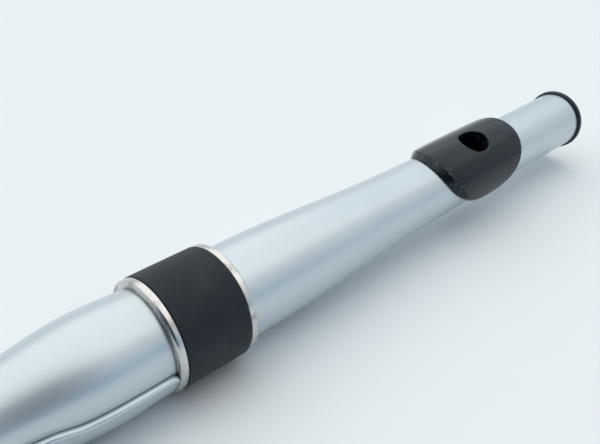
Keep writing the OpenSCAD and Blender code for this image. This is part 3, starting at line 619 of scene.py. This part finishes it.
def buildHeadTube():
    low, high = span("head_tube")
    land, inside, small = head["tenon"], head["bore"], head["chamfer"]
    gap, end = barrelX + head["home"], mouthX + head["stopper"]
    outline = [(low.x, inside), (low.x, land - small), (low.x + small, land)]
    for x in (low.x + head["sealInset"], barrelX - head["sealInset"]):
        outline += groove(x, head["sealHalf"], head["sealFloor"], land)
    outline += [(gap, land), *rising(gap, headRadius(gap), head["edge"])]
    outline += [(x, headRadius(x)) for x in spread(gap + 2, high.x - head["endLong"], 90)]
    outline += [(high.x, headRadius(high.x) - head["endDrop"]), (high.x, head["stopperBore"]),
                (end, head["stopperBore"]), (end, inside)]
    ring = [mouthEdge(2 * pi * i / 96, head["mouthFit"]) for i in range(96)]
    mouth = moved(lofted([[(mouthX + x, y, z) for x, y in ring] for z in (0, head["mouthCut"])]), tilt)
    mesh = markShadedBore(carved(turned(outline, sides["tube"]), take(mouth)), inside)
    addPiece("headTube", mesh, "head", "head_tube")


# the marks at the mouth rim, crease and bevel face are lighter worn spots that also paint glints: partly
# wear, partly painted highlight
lip = {"half": 24.5, "wrap": 102.0, "square": 0.85, "crest": 14.6, "bevel": 2.8, "bevelDrop": 0.8,
       "bevelFade": 5.5, "bevelTurn": (0.60, 0.78), "crease": 0.25, "endDrop": 0.35, "endFade": 5.0,
       "round": 1.9, "thin": 0.40, "mouthRound": 0.35, "collar": 0.9, "collarFoot": 9.6, "gap": 0.06,
       "count": 256, "mouthWearAndGlint": 0.3, "creaseWearAndGlint": 0.1, "faceWearAndGlint": 0.12}


def buildLipPlate():
    reach = radians(lip["wrap"]) * lip["crest"]
    barrelEnd, crownEnd = lipMiddle - lip["half"], lipMiddle + lip["half"]

    def crest(x):
        past, left = max(0, x - barrelEnd - lip["bevel"]), max(0, crownEnd - x)
        return (lip["crest"] - lip["bevelDrop"] * exp(-past / lip["bevelFade"])
                - lip["endDrop"] * exp(-left / lip["endFade"]))

    def under(x):
        return headRadius(x) + lip["gap"]

    def point(at, r):  # at: along the bore, and round it at the crest's radius
        turn = at.y / lip["crest"]
        return tilt @ Vector((at.x, r * sin(turn), r * cos(turn)))

    columns, wear = [], []
    for i in range(lip["count"]):
        psi = 2 * pi * i / lip["count"]
        c, s = cos(psi), sin(psi)
        power = lip["square"] if c > 0 else 1.0
        edge = Vector((lipMiddle + lip["half"] * copysign(abs(c) ** power, c),
                       reach * copysign(abs(s) ** power, s)))

        def hole(r, grow=0.0):  # the straight-sided hole meets radius r here
            x, y = mouthEdge(psi, grow)
            return Vector((mouthX + x, lip["crest"] * asin(y / r)))

        column, marks = [], []

        def add(at, r, mark=0.0):
            column.append(point(at, r))
            marks.append(mark)

        add(hole(lip["collarFoot"]), lip["collarFoot"])
        small = lip["mouthRound"]
        for a in spread(0, pi / 2, 5):
            r = crest(mouthX) - small * (1 - sin(a))
            start = hole(r, small * (1 - cos(a)))
            add(start, r, lip["mouthWearAndGlint"])
        bevelled = ease(*lip["bevelTurn"], -cos(psi))
        size = lip["round"] + (lip["bevel"] - lip["round"]) * bevelled
        way = (edge - start).normalized()
        crease = edge - way * size
        flat = crease - way * lip["crease"]
        for t in spread(0, 1, 16)[1:-1]:
            at = start + (flat - start) * t
            add(at, crest(at.x))
        add(flat, crest(flat.x), lip["creaseWearAndGlint"] * bevelled)
        low = under(edge.x) + lip["thin"] * (0.5 + 0.5 * bevelled)
        for u in (1.0, 0.94, 0.75, 0.55, 0.38, 0.24, 0.14, 0.07, 0.025, 0.0):
            at = edge - way * size * u
            share = u * bevelled + sqrt(1 - (1 - u) ** 2) * (1 - bevelled)
            # the crease and bevel face get marks: partly wear, partly painted glints
            add(at, low + (crest(crease.x) - low) * share, bevelled * (1.0 if u > 0.9 else lip["faceWearAndGlint"]))
        add(edge, under(edge.x))
        back = hole(under(mouthX), lip["collar"])
        for t in spread(0, 1, 7)[1:]:
            at = edge + (back - edge) * t
            add(at, under(at.x))
        add(hole(lip["collarFoot"], lip["collar"]), lip["collarFoot"])
        columns.append(column)
        wear.append(marks)
    mesh = asMesh(lofted(list(zip(*columns)), loop=True))
    # the marks lighten the finish in spots: partly wear, partly painted glints
    marks = mesh.attributes.new("wear", "FLOAT", "POINT")
    marks.data.foreach_set("value", [mark for row in zip(*wear) for mark in row])
    addPiece("lipPlate", mesh, "head", "lip_plate", sharp=50)


crown = {"round": 0.9, "spigot": head["stopperBore"], "chamfer": 0.5, "dish": 0.2}


def buildCrown():
    low, high = span("crown")
    flange, r, edge = span("head_tube")[1].x, high.z, crown["round"]
    spigot, small = crown["spigot"], crown["chamfer"]
    outline = [(low.x, 0), (low.x, spigot - small), (low.x + small, spigot), (flange, spigot)]
    outline += rising(flange, r, edge) + falling(high.x, r, edge)
    outline += dished(high.x, crown["dish"], r - edge, 8)[1:]
    addPiece("crownCap", turned(outline, sides["end"], loop=False), "head", "crown")


buildHeadTube()
buildLipPlate()
buildCrown()
print("head joint built")

# Barrel

rings = {"inner": 14.9, "bodyWide": 2.45, "shoulder": 1.2, "lip": 0.5, "crisp": 0.25}
shoulderX = sleeveLow.x - rings["bodyWide"]  # where the body's shoulder meets the ring


def buildRing(name, node, start, first, last):
    high = span(node)[1]
    outline = [(start, rings["inner"]), *rising(start, high.z, first, 8), *falling(high.x, high.z, last, 8),
               (high.x, rings["inner"])]
    addPiece(name, turned(outline, sides["tube"]), "body", node)


sleeve = {"edge": 0.35, "inner": rings["inner"], "seam": 0.12}


def buildSleeve():
    low, high, r = sleeveLow.x + sleeve["seam"], sleeveHigh.x - sleeve["seam"], sleeveHigh.z
    outline = [(low, sleeve["inner"]), *rising(low, r, sleeve["edge"])]
    outline += [(x, r) for x in spread(low + 1, high - 1, 12)]
    outline += [*falling(high, r, sleeve["edge"]), (high, sleeve["inner"])]
    addPiece("gripSleeve", turned(outline, sides["tube"]), "body", "grip_sleeve")


buildRing("bodyRing", "body_ring", shoulderX, rings["shoulder"], rings["crisp"])
buildRing("headRing", "head_ring", sleeveHigh.x, rings["crisp"], rings["lip"])
buildSleeve()
print("barrel built")

# Body tube and foot tube

tones = {"lowNote": 261.6, "soundSpeed": 346.0, "endCorrection": 0.06, "chimney": 1.4, "rim": 13.9,
         "root": 9.6, "edge": 0.3, "over": 0.5, "skirt": ((0, 0.5), (2.2, 0.35), (3.0, 0)),
         "hole": 13.2, "cSharpHole": 6.4, "trillHole": 8.0}
# first note, number of holes and their width
bodyRows = ((4, 9, tones["hole"]), (13, 1, tones["cSharpHole"]), (14, 2, tones["trillHole"]))
footRows = ((1, 3, tones["hole"]),)


def toneHoles(rows):
    chimneys, drills = [], []
    for first, count, wide in rows:
        edge, low, high = tones["edge"], tones["root"], tones["rim"]
        r, over = wide / 2 + tones["chimney"], tones["over"]
        outline = [(low + x, r + out) for x, out in tones["skirt"]]
        outline = [(low, 0), *outline, (high - edge, r), (high, r - edge), (high, 0)]
        wall = turned(outline, sides["hole"], loop=False)
        hole = turned([(0, 0), (0, wide / 2), (high - edge, wide / 2), (high + over, wide / 2 + edge + over),
                       (high + over, 0)], sides["hole"], loop=False)
        values = {"First": first, "Count": count, "Mouth": mouthX * mm, "Low Note": tones["lowNote"],
                  "Sound Speed": tones["soundSpeed"], "End Correction": tones["endCorrection"]}
        chimneys.append(join(repeated(toneRow, moved(wall, upright), "pearl_plastic", values=values)))
        drills.append(take(repeated(toneRow, moved(hole, upright), "pearl_plastic", values=values)))
    return chimneys + drills


body = {"bore": head["bore"], "tube": 11.9, "core": rings["inner"], "socket": 12.95, "tenon": 11.4,
        "sealFloor": 10.27, "sealHalf": 0.59, "edge": 0.45, "home": 0.3, "chamfer": 0.3, "step": 0.2,
        "shoulder": 1.2, "seam": 0.05, "socketEdge": 0.5, "swell": 70.0,
        # how the tube's radius changes, measured from the sleeve's lower edge
        "steps": [(3.68, -54.5, -18.5), (-0.5, -18.5, -0.5)]}
footX = span("foot_tube")[1].x
swellX = sleeveLow.x - body["swell"]  # the tube is straight below this


def bodyRadius(x):
    return stepped(body["tube"], body["steps"], x - sleeveLow.x)


def buildBodyTube():
    low, high = span("body_tube")
    sealX, home = (low.x + footX) / 2, span("head_tube")[0].x - body["home"]
    start, top, inside = footX + body["home"], shoulderX - body["seam"], body["bore"]
    land, small = body["tenon"], body["chamfer"]
    outline = [(low.x, inside), (low.x, land - small), (low.x + small, land)]
    outline += groove(sealX, body["sealHalf"], body["sealFloor"], land)
    outline += [(start, land), *rising(start, body["tube"], body["step"], 3)]
    outline += [(x, body["tube"]) for x in spread(start + 4, swellX - 2, 60)]
    outline += [(x, bodyRadius(x)) for x in spread(swellX, shoulderX - body["shoulder"], 64)]
    outline += falling(top, bodyRadius(shoulderX), body["edge"])
    outline += [(top, body["core"]), (high.x, body["core"]), (high.x, body["socket"] + body["socketEdge"]),
                (high.x - body["socketEdge"], body["socket"]), (home, body["socket"]), (home, inside)]
    mesh = markShadedBore(carved(turned(outline, sides["tube"]), *toneHoles(bodyRows)), inside)
    addPiece("bodyTube", mesh, "body", "body_tube")


foot = {"bore": 9.7, "tube": body["tube"], "root": 13.65, "socket": 11.45, "bead": 13.3, "beadWide": 4.0,
        "round": 0.9, "flare": 4.0, "socketDeep": 13.63, "chamfer": 0.3, "fillet": 0.25, "socketEdge": 0.2}


def buildFootTube():
    low, high = span("foot_tube")
    deep, edge, end = high.x - foot["socketDeep"], foot["round"], low.x + foot["beadWide"]
    inside, r, flare, small = foot["bore"], foot["tube"], deep - foot["flare"], foot["chamfer"]
    outline = [(low.x, inside + small), *rising(low.x, foot["bead"], edge), *falling(end, foot["bead"], edge)]
    outline += [(end, r + foot["fillet"]), (end + foot["fillet"], r)]
    outline += [(x, r) for x in spread(end + 3, flare - 1, 24)]
    outline += [(x, r + (foot["root"] - r) * ease(flare, deep, x)) for x in spread(flare, deep, 12)]
    outline += falling(high.x, foot["root"], edge)
    outline += [(high.x, foot["socket"] + foot["socketEdge"]), (high.x - foot["socketEdge"], foot["socket"]),
                (deep, foot["socket"]), (deep, inside), (low.x + small, inside)]
    mesh = markShadedBore(carved(turned(outline, sides["end"]), *toneHoles(footRows)), inside)
    addPiece("footTube", mesh, "foot", "foot_tube")


buildBodyTube()
buildFootTube()
print("tubes built")

shell = {"wall": 1.4, "gap": 0.07, "end": 0.15, "nose": 1.4, "noseThin": 0.35, "rail": 0.55, "railHigh": 1.3,
         "sideHigh": 4.5, "rimSquare": 0.36,
         # how far the rim lies below the axis, and how that changes, measured from the sleeve's lower edge
         "rim": 1.3, "steps": [(1.3, -38.0, -28.5), (0.75, -21.0, -2.0)]}


def buildLowerShell():
    low, nose = span("lower_shell")[0], shell["nose"]
    start = shoulderX - shell["end"] - nose
    stations = [low.x, low.x + 0.3, *spread(low.x + 4, swellX - 4, 50), *spread(swellX, start, 60)]
    stations += [start + nose * sin(a) for a in spread(0, pi / 2, 8)[1:]]
    loops = []
    for x in stations:
        t = max(0, (x - start) / nose)
        fall = nose * (1 - sqrt(max(0, 1 - t * t)))
        inner = bodyRadius(x) + shell["gap"]
        outer = bodyRadius(x) + shell["wall"] - shell["noseThin"] * fall / nose
        top, high = outer + shell["rail"], shell["railHigh"]
        rim, middle = (top - inner) / 2, (top + inner) / 2
        lean = asin((stepped(shell["rim"], shell["steps"], x - sleeveLow.x) + fall) / middle)
        edge = [high * sin(a) / outer for a in spread(0, pi / 2, 12)]
        edge += [b / outer for b in spread(high + 0.1, shell["sideHigh"], 10)]
        turns = [lean + b for b in edge]
        turns += spread(turns[-1], pi - turns[-1], 48)[1:-1] + [pi - a for a in reversed(turns)]
        ring = []
        for a in turns:  # down the outside and up again
            below = (min(a, pi - a) - lean) * outer
            r = outer + shell["rail"] * sqrt(max(0, 1 - (below / high) ** 2))  # half-round at the rim
            ring.append((x, r * cos(a), -r * sin(a)))
        for side in (-1, 1):  # over each rim, with the inside between them
            centre = Vector((side * cos(lean), -sin(lean)))
            upward = Vector((side * sin(lean), cos(lean)))
            over = [centre * (middle + rim * cos(a))  # squarer on the inside, where it meets the tube
                    + upward * (rim * sin(a) ** (1.0 if a < pi / 2 else shell["rimSquare"]))
                    for a in spread(0, pi, 14)[1:-1]]
            if side > 0:
                over.reverse()
                inside = spread(pi - lean, lean, 64)
                ring += [(x, inner * cos(a), -inner * sin(a)) for a in inside]
            ring += [(x, p.x, p.y) for p in over]
        loops.append(ring)
    addPiece("lowerShell", lofted(loops), "body", "lower_shell")


rest = {"top": -8.0, "draft": 1.5, "round": 2.0, "end": 1.6, "fit": 0.02, "over": 2.0, "tread": 9,
        "treadStep": 2.8, "treadDeep": 0.5, "treadBelow": 0.3}


def buildThumbRest():
    low, high = span("thumb_rest")
    half, middle, edge = (high.y - low.y) / 2, (low.x + high.x) / 2, rest["round"]
    loops = []
    ends = [(rest["end"] * (1 - sin(a)), 1 - cos(a)) for a in spread(0, pi / 2, 5)]
    stations = [(low.x + inset, out) for inset, out in ends] + [(high.x - inset, out) for inset, out in ends]
    for x, out in sorted(stations):
        pull = rest["end"] * (1 - out)
        w, z = half - pull, low.z + pull
        ring = [(x, w - edge + edge * sin(a), z + edge - edge * cos(a))
                for a in spread(0, pi / 2, 6)]
        ring.append((x, w - rest["draft"], rest["top"]))
        loops.append(ring + [(x, -y, z) for x, y, z in reversed(ring)])
    below, over = rest["treadBelow"], rest["over"]
    seatR = body["tube"] + shell["wall"] + rest["fit"]
    seat = cylinder(low.x - over, high.x + over, seatR, 0, sides["tube"])
    tread = moved(cylinder(-half, half, rest["treadDeep"] + below, 0, sides["needle"]),
                  Matrix.Rotation(pi / 2, 4, "Z"))
    treadXs = [middle + rest["treadStep"] * (i - (rest["tread"] - 1) / 2) for i in range(rest["tread"])]
    grooves = repeated(pointRow, tread, "grip_rubber", [(x, 0, low.z - below) for x in treadXs])
    mesh = carved(lofted(loops), take(seat), take(grooves))
    addPiece("thumbRest", mesh, "body", "thumb_rest")


buildLowerShell()
buildThumbRest()
print("shell and rest built")

# Keys: each turns on a rod between two posts

joints = {joint["child"]: joint for joint in frame["joints"]}
narrow = {"c_sharp": tones["cSharpHole"], "d_trill": tones["trillHole"], "d_sharp_trill": tones["trillHole"]}
key = {"lap": 2.0, "cupHigh": 3.0, "seat": 1.4, "wall": 1.0, "round": 0.8, "chamfer": 0.2, "dish": 0.7,
       "cupLevel": 14.94, "armLevel": 17.74, "armWide": 5.0, "armNose": 3.6, "noseFrom": 0.86,
       "armThick": 2.4, "armThin": 0.25, "thinFrom": 0.6, "armLand": 0.45, "soft": 0.6, "rod": 1.15,
       "knuckle": 2.3, "fit": 0.02}
pad = {"level": 13.94, "thick": 2.4, "step": 0.5, "soft": 0.15, "flare": 0.2, "gap": 0.04}
lever = {"reach": 12.0, "wide": 11.0, "neck": 8.0, "nose": 0.2, "tip": 0.5, "bend": 0.45, "soft": 0.75,
         "lift": 2.5}
link = {"at": 0.45, "wide": 3.0, "thick": 1.4, "gap": 0.15, "soft": 0.3}
# the hollow is given by radius and depth
touch = {"wide": 6.0, "r": 4.5, "round": 0.6, "chamfer": 0.3, "hollow": ((2.5, 0.15), (0, 0.2))}
# drills run over the end posts, and a cut keeps the posts clear of the lower shell
post = {"wide": 3.0, "r": 3.0, "trillR": 4.7, "play": 0.15, "soft": 0.3, "over": 4.0, "cut": 30.0}
# the point is given by how far it is from the tip and its share of the radius
spring = {"out": 2.893, "up": 1.879, "r": 0.35, "free": 6.0, "point": ((0, 0.45), (0.5, 0.8)),
          "pointLong": 1.5, "butt": (0.1, 0.7), "catchLong": 2.2, "catchThick": 1.0, "catchSoft": 0.15,
          "catchPast": 0.2, "gap": 0.02}


def hingeOf(name):
    return Vector(joints[name]["pos_m"]) / mm


def noteX(note):
    halfWave = tones["soundSpeed"] / (2 * tones["lowNote"] * 2 ** (note / 12))
    return mouthX - (halfWave - tones["endCorrection"]) / mm


def between(note):
    return (noteX(note) + noteX(note + 1)) / 2


mainHinge, trillHinge, lowHinge = hingeOf("d"), hingeOf("d_trill"), hingeOf("low_c")
bay = post["wide"] / 2 + post["play"]


def postsOn(rod, *middles):  # a rod's two end posts, and those between them
    low, high = span(rod)
    return [low.x + post["wide"] / 2, *middles, high.x - post["wide"] / 2]


mainPosts = postsOn("main_rod", *[between(note) for note in range(4, 13)])
trillPosts = [between(14), postsOn("trill_rod")[1]]
footPosts = postsOn("foot_rod", between(2))
lowPosts = postsOn("low_c_rod")
mainKeys = ["d", "e", "f", "f_sharp", "g_sharp", "g", "a", "b_flat", "thumb", "c_sharp"]
footKeys = ["low_c_sharp", "e_flat"]
keySpans = {}
for names, posts in ((mainKeys, mainPosts), (footKeys, footPosts), (["low_c"], lowPosts)):
    for name, below, above in zip(names, posts, posts[1:]):
        keySpans[name] = below + bay, above - bay
closed = [name for name in joints if name + "_key" in slotOf and joints[name]["range_deg"][1] < 1]


def plainName(text):  # low_c_sharp becomes lowCSharp
    first, *more = text.split("_")
    return first + "".join(word.capitalize() for word in more)


def keySide(name):  # the hinge as if on the player's side, and the mirror that puts it back
    at = hingeOf(name)
    return Vector((at.x, abs(at.y), at.z)), Matrix.Scale(-1 if at.y < 0 else 1, 4, (0, 1, 0))


def restTurn(name, at):  # from closed to where the key rests
    angle = 0 if name in closed else -radians(joints[name]["range_deg"][1])
    return shift(0, at.y, at.z) @ Matrix.Rotation(angle, 4, "X") @ shift(0, -at.y, -at.z)


def holeRadius(name):
    return narrow.get(name, tones["hole"]) / 2


def cupRadius(name):
    return holeRadius(name) + key["lap"]


def armPath(at, end, steps=18):
    corners = Vector((at.y, at.z)), Vector((at.y, key["armLevel"])), Vector((end, key["armLevel"]))
    return [bezier(*corners, t) for t in spread(0, 1, steps)]


def armThick(t):  # thinner towards the end, which sinks into the cup or the finger plate
    return key["armThick"] * (1 - key["armThin"] * ease(key["thinFrom"], 1, t))


def cupOnArm(name, at):
    r = cupRadius(name)
    edge, top = key["round"], key["cupHigh"]
    inner, small, fit = r - key["wall"], key["chamfer"], key["fit"]
    outline = [(key["seat"], 0), (key["seat"], inner), (0, inner), (0, r - small), (small, r)]
    outline += falling(top, r, edge) + dished(top, key["dish"], r - 2 * edge, 10)
    stand = shift(at.x, 0, key["cupLevel"]) @ upright
    seat = moved(cylinder(-top, key["seat"] + fit, inner + fit, 0, sides["cup"]), stand)

    def wide(t):
        nose = max(0, (t - key["noseFrom"]) / (1 - key["noseFrom"]))
        full = key["armWide"] + (key["armNose"] - key["armWide"]) * t
        return full * sqrt(max(0.02, 1 - nose * nose))

    arm = strap(at.x, armPath(at, r * key["armLand"]), wide, armThick, key["soft"])
    cup = moved(turned(outline, sides["cup"], loop=False), stand)
    return carved(cup, join(carved(arm, take(seat))))


def tubeShell(at, x0, x1, r, edge=0.25):
    return moved(cylinder(x0, x1, r, edge, sides["rod"]), shift(0, at.y, at.z))


def drill(at, x0, x1, r):
    return take(tubeShell(at, x0, x1, r, 0))


def catchShell(at, face, out, up):  # the block that the spring's free end bears on
    tipY, tipZ = at.y + out * spring["out"], at.z + up * spring["up"]
    top = tipZ - up * (spring["r"] + spring["gap"])
    inner, outer = at.y + out * (key["rod"] + spring["r"]), tipY + out * spring["catchThick"] / 2
    size = (spring["catchLong"], abs(outer - inner), spring["catchThick"])
    spot = shift(face - spring["free"] + spring["catchLong"] / 2, (inner + outer) / 2, top - up * size[2] / 2)
    return moved(block(size, spring["catchSoft"]), spot)


def leverShell(at, x0, lift):
    reach, wide, nose = lever["reach"], lever["wide"], lever["nose"]
    start = Vector((at.y, at.z))
    shares = spread(0, 1 - nose, 14) + [1 - nose * (1 - sin(a)) for a in spread(0, pi / 2, 12)[1:]]
    path = [bezier(start, start + Vector((reach * lever["bend"], lift)), start + Vector((reach, lift)), t)
            for t in shares]

    def plan(t):
        off = path[round(t * (len(path) - 1))].x - at.y - (reach - wide / 2)
        disc = 2 * sqrt(max(0, (wide / 2) ** 2 - off * off))
        return max(lever["neck"] if off < 0 else lever["tip"], disc)

    return strap(x0 + wide / 2, path, plan, lambda t: key["armThick"], lever["soft"])


def linkShells(name, at, other):  # a bar over the next key's arm
    steps = 100
    path = armPath(at, cupRadius(name) * key["armLand"], steps)
    k = round(link["at"] * steps)
    way = (path[k + 1] - path[k - 1]).normalized()
    spot = (shift(at.x - key["armWide"] / 2, path[k].x, path[k].y)
            @ Matrix.Rotation(atan2(-way.x, way.y) - pi / 2, 4, "X"))
    low, length = key["armThick"] / 2 + link["gap"], hingeOf(other).x - at.x + key["armWide"]
    high, wide, thick, soft = low + link["thick"], key["armWide"], link["thick"], link["soft"]
    stub = moved(block((wide, link["wide"], high), soft), spot @ shift(wide / 2, 0, high / 2))
    bar = moved(block((length, link["wide"], thick), soft), spot @ shift(length / 2, 0, low + thick / 2))
    return [stub, bar]


def touchShells(at):  # the lowest key's finger plate, carried over the tube
    thick, r, x, small = key["armThick"], touch["r"], between(2), touch["chamfer"]
    disc = [(0, 0), (0, r - small), (small, r), *falling(thick, r, touch["round"])]
    disc += [(thick - deep, out) for out, deep in touch["hollow"]]
    return [strap(x, armPath(at, 0), lambda t: touch["wide"], armThick, key["soft"]),
            moved(turned(disc, loop=False), shift(x, 0, key["armLevel"] - thick / 2) @ upright)]


def buildKey(name):
    at, side = keySide(name)
    x0, x1 = keySpans[name]
    extras = []
    if name in ("a", "f"):
        extras = linkShells(name, at, {"a": "b_flat", "f": "f_sharp"}[name])
    if name == "low_c":
        extras = touchShells(at)
    mesh = carved(cupOnArm(name, at), *[join(extra) for extra in extras])
    turn = restTurn(name, at)
    turn.translation *= mm
    mesh.transform(turn)
    steps = [join(tubeShell(at, x0, x1, key["knuckle"])),
             join(catchShell(at, x1 + post["play"], -1, 1 if name in closed else -1))]
    if name in ("thumb", "g_sharp", "e_flat"):
        start = x0 if name == "e_flat" else at.x - lever["wide"] / 2
        steps.append(join(leverShell(at, start, lever["lift"] if name in closed else 0)))
    mesh = carved(mesh, *steps, drill(at, x0 - 1, x1 + 1, key["rod"]))
    if side.determinant() < 0:
        mesh.transform(side)
        mesh.flip_normals()
    addPiece(plainName(name) + "Key", mesh, name, name + "_key")


def buildPad(name):
    at, side = keySide(name)
    r, step = cupRadius(name) - key["wall"] - pad["gap"], pad["step"]
    inner, outer, soft = holeRadius(name) - step, r - step, pad["soft"]
    outline = [(step, 0), (step, inner - step), (soft, inner - soft), (0, inner + soft), (0, outer - soft),
               (soft, outer + pad["flare"]), (step, r), (pad["thick"], r), (pad["thick"], 0)]
    stand = side @ restTurn(name, at) @ shift(at.x, 0, pad["level"]) @ upright
    disc = moved(turned(outline, sides["cup"], loop=False), stand)
    addPiece(plainName(name) + "Pad", disc, name, name + "_pad")


for name in keySpans:
    buildKey(name)
    buildPad(name)
print("hinged keys built:", len(keySpans))

# Trill keys: the lower one's pieces sit on a tube, and the upper one's on the rod inside it

trill = {"tube": 1.75, "hub": 2.55, "rod": 1.1, "fit": 0.01, "play": 0.05, "chamfer": 0.1}
trillHubs = {"d_trill": (noteX(14) - key["armWide"] / 2, trillPosts[0] - bay),
             "d_sharp_trill": (trillPosts[0] + bay, trillPosts[1] - bay)}


def buildTrillKeys():
    for name, touchNode, r, bore in (("d_trill", "d_trill_touch", trill["hub"], trill["tube"]),
                                     ("d_sharp_trill", "d_sharp_touch", key["knuckle"], trill["rod"])):
        at, (x0, x1), (low, high) = hingeOf(name), trillHubs[name], span(touchNode)
        mesh = carved(cupOnArm(name, at), join(tubeShell(at, x0, x1, r)),
                      join(catchShell(at, x1 + post["play"], 1, -1)),
                      drill(at, x0 - 1, x1 + 1, bore + trill["fit"]))
        addPiece(plainName(name) + "Key", mesh, name, name + "_key")
        buildPad(name)
        mesh = carved(tubeShell(at, low.x, high.x, r), join(leverShell(at, low.x, lever["lift"])),
                      drill(at, low.x - 1, high.x + 1, bore + trill["fit"]))
        addPiece(plainName(touchNode), mesh, name, touchNode)
    (low, high), r, small = span("d_trill_tube"), trill["tube"], trill["chamfer"]
    ring = [(low.x, key["rod"]), (low.x, r - small), (low.x + small, r), (high.x - small, r),
            (high.x, r - small), (high.x, key["rod"])]
    tube = moved(turned(ring, sides["rod"]), shift(0, trillHinge.y, trillHinge.z))
    addPiece("dTrillTube", tube, "d_trill", "d_trill_tube")


buildTrillKeys()
print("trill keys built")

# Posts, rods and springs

web = {"low": (9.5, 0.0), "high": (7.1, 8.0), "from": -62.0, "to": 118.0}


def postShell(at, r):  # an eye on a web that stands on the tube's side
    eye = Vector((at.y, at.z))
    turns = spread(radians(web["from"]), radians(web["to"]), 24)
    outline = [eye + r * Vector((cos(a), sin(a))) for a in turns]
    outline = [Vector(web["low"]), *outline, Vector(web["high"])]
    middle = sum(outline, Vector((0, 0))) / len(outline)
    half, soft = post["wide"] / 2, post["soft"]
    return lofted([[(x, *(p + (middle - p).normalized() * pull)) for p in outline]
                   for x, pull in ((-half, soft), (soft - half, 0), (half - soft, 0), (half, soft))])


def postRow(at, r, places, side=1):
    shape = moved(postShell(at, r), Matrix.Scale(side, 4, (0, 1, 0)))
    return repeated(pointRow, shape, "key_plastic", [(x, 0, 0) for x in places])


def buildPosts():
    snug, loosely, tubed = trill["rod"] + key["fit"], key["rod"], trill["tube"] + trill["play"]
    over, cut = post["over"], post["cut"]
    clear = (shell["wall"] + shell["rail"]) / 2 + post["play"] - shell["rim"]
    reach = body["tube"] + shell["wall"] + post["play"]
    for name, node, rider, first, last in (("keyPosts", "key_posts", "body", mainPosts[0], trillPosts[1]),
                                           ("footPosts", "foot_posts", "foot", lowPosts[0], footPosts[2])):
        x0, x1 = first - over, last + over
        away = moved(block((x1 - x0, 2 * reach, cut)), shift((x0 + x1) / 2, 0, clear - cut / 2))
        if rider == "body":
            mesh = postRow(mainHinge, post["r"], mainPosts)
            steps = [join(postRow(trillHinge, post["trillR"], mainPosts + trillPosts)),
                     drill(trillHinge, x0, mainPosts[2] + over, loosely),
                     drill(trillHinge, mainPosts[2] + over, mainPosts[-1] + over, tubed),
                     drill(trillHinge, mainPosts[-1] + over, x1, loosely)]
        else:
            mesh = postRow(mainHinge, post["r"], footPosts)
            steps = [join(postRow(mainHinge, post["r"], lowPosts, -1)), drill(lowHinge, x0, x1, snug)]
        mesh = carved(mesh, *steps, drill(mainHinge, x0, x1, snug), take(away),
                      take(cylinder(x0, x1, body["tube"] - key["fit"], 0, sides["tube"])))
        addPiece(name, mesh, rider, node)


slot = {"wide": 0.45, "deep": 0.5, "edge": 0.2, "soft": 0.02}


def buildRods():
    for node, rider in (("main_rod", "body"), ("trill_rod", "d_sharp_trill"), ("foot_rod", "foot"),
                        ("low_c_rod", "foot")):
        low, high = span(node)
        at, r = (low + high) / 2, (high.z - low.z) / 2
        cut = block((2 * slot["deep"], 4 * r, slot["wide"]), slot["soft"])
        cuts = repeated(pointRow, cut, "rod_steel", [(low.x, at.y, at.z), (high.x, at.y, at.z)])
        mesh = carved(tubeShell(at, low.x, high.x, r, slot["edge"]), take(cuts))
        addPiece(plainName(node), mesh, rider, node)


def buildSprings():
    end, r, (buttEdge, buttShare) = post["wide"] / 2, spring["r"], spring["butt"]
    tip = -end - spring["free"]
    outline = [(tip, 0), *[(tip + x, r * share) for x, share in spring["point"]]]
    outline += [(x, r) for x in spread(tip + spring["pointLong"], -end, 12)]
    outline += [(end - buttEdge, r), (end, r * buttShare), (end, 0)]
    needle = turned(outline, sides["needle"], loop=False)
    rows = zip(mainPosts[1:] + footPosts[1:], mainKeys + footKeys)
    rows = [(x, name, mainHinge, -1) for x, name in rows]
    rows += [(x, name, trillHinge, 1) for x, name in zip(trillPosts, trillHubs)]
    rows.append((lowPosts[1], "low_c", lowHinge, 1))
    for x, name, at, out in rows:
        up = 1 if name in closed and name not in trillHubs else -1
        spot = Vector((x, at.y + out * spring["out"], at.z + up * spring["up"]))
        base = joints[name]["parent"]
        piece = addPiece(plainName(name) + "Spring", moved(needle, shift(*spot)), None,
                         "foot_springs" if base == "foot" else "key_springs")
        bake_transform(piece)


buildPosts()
buildRods()
buildSprings()
print("posts, rods and springs built")
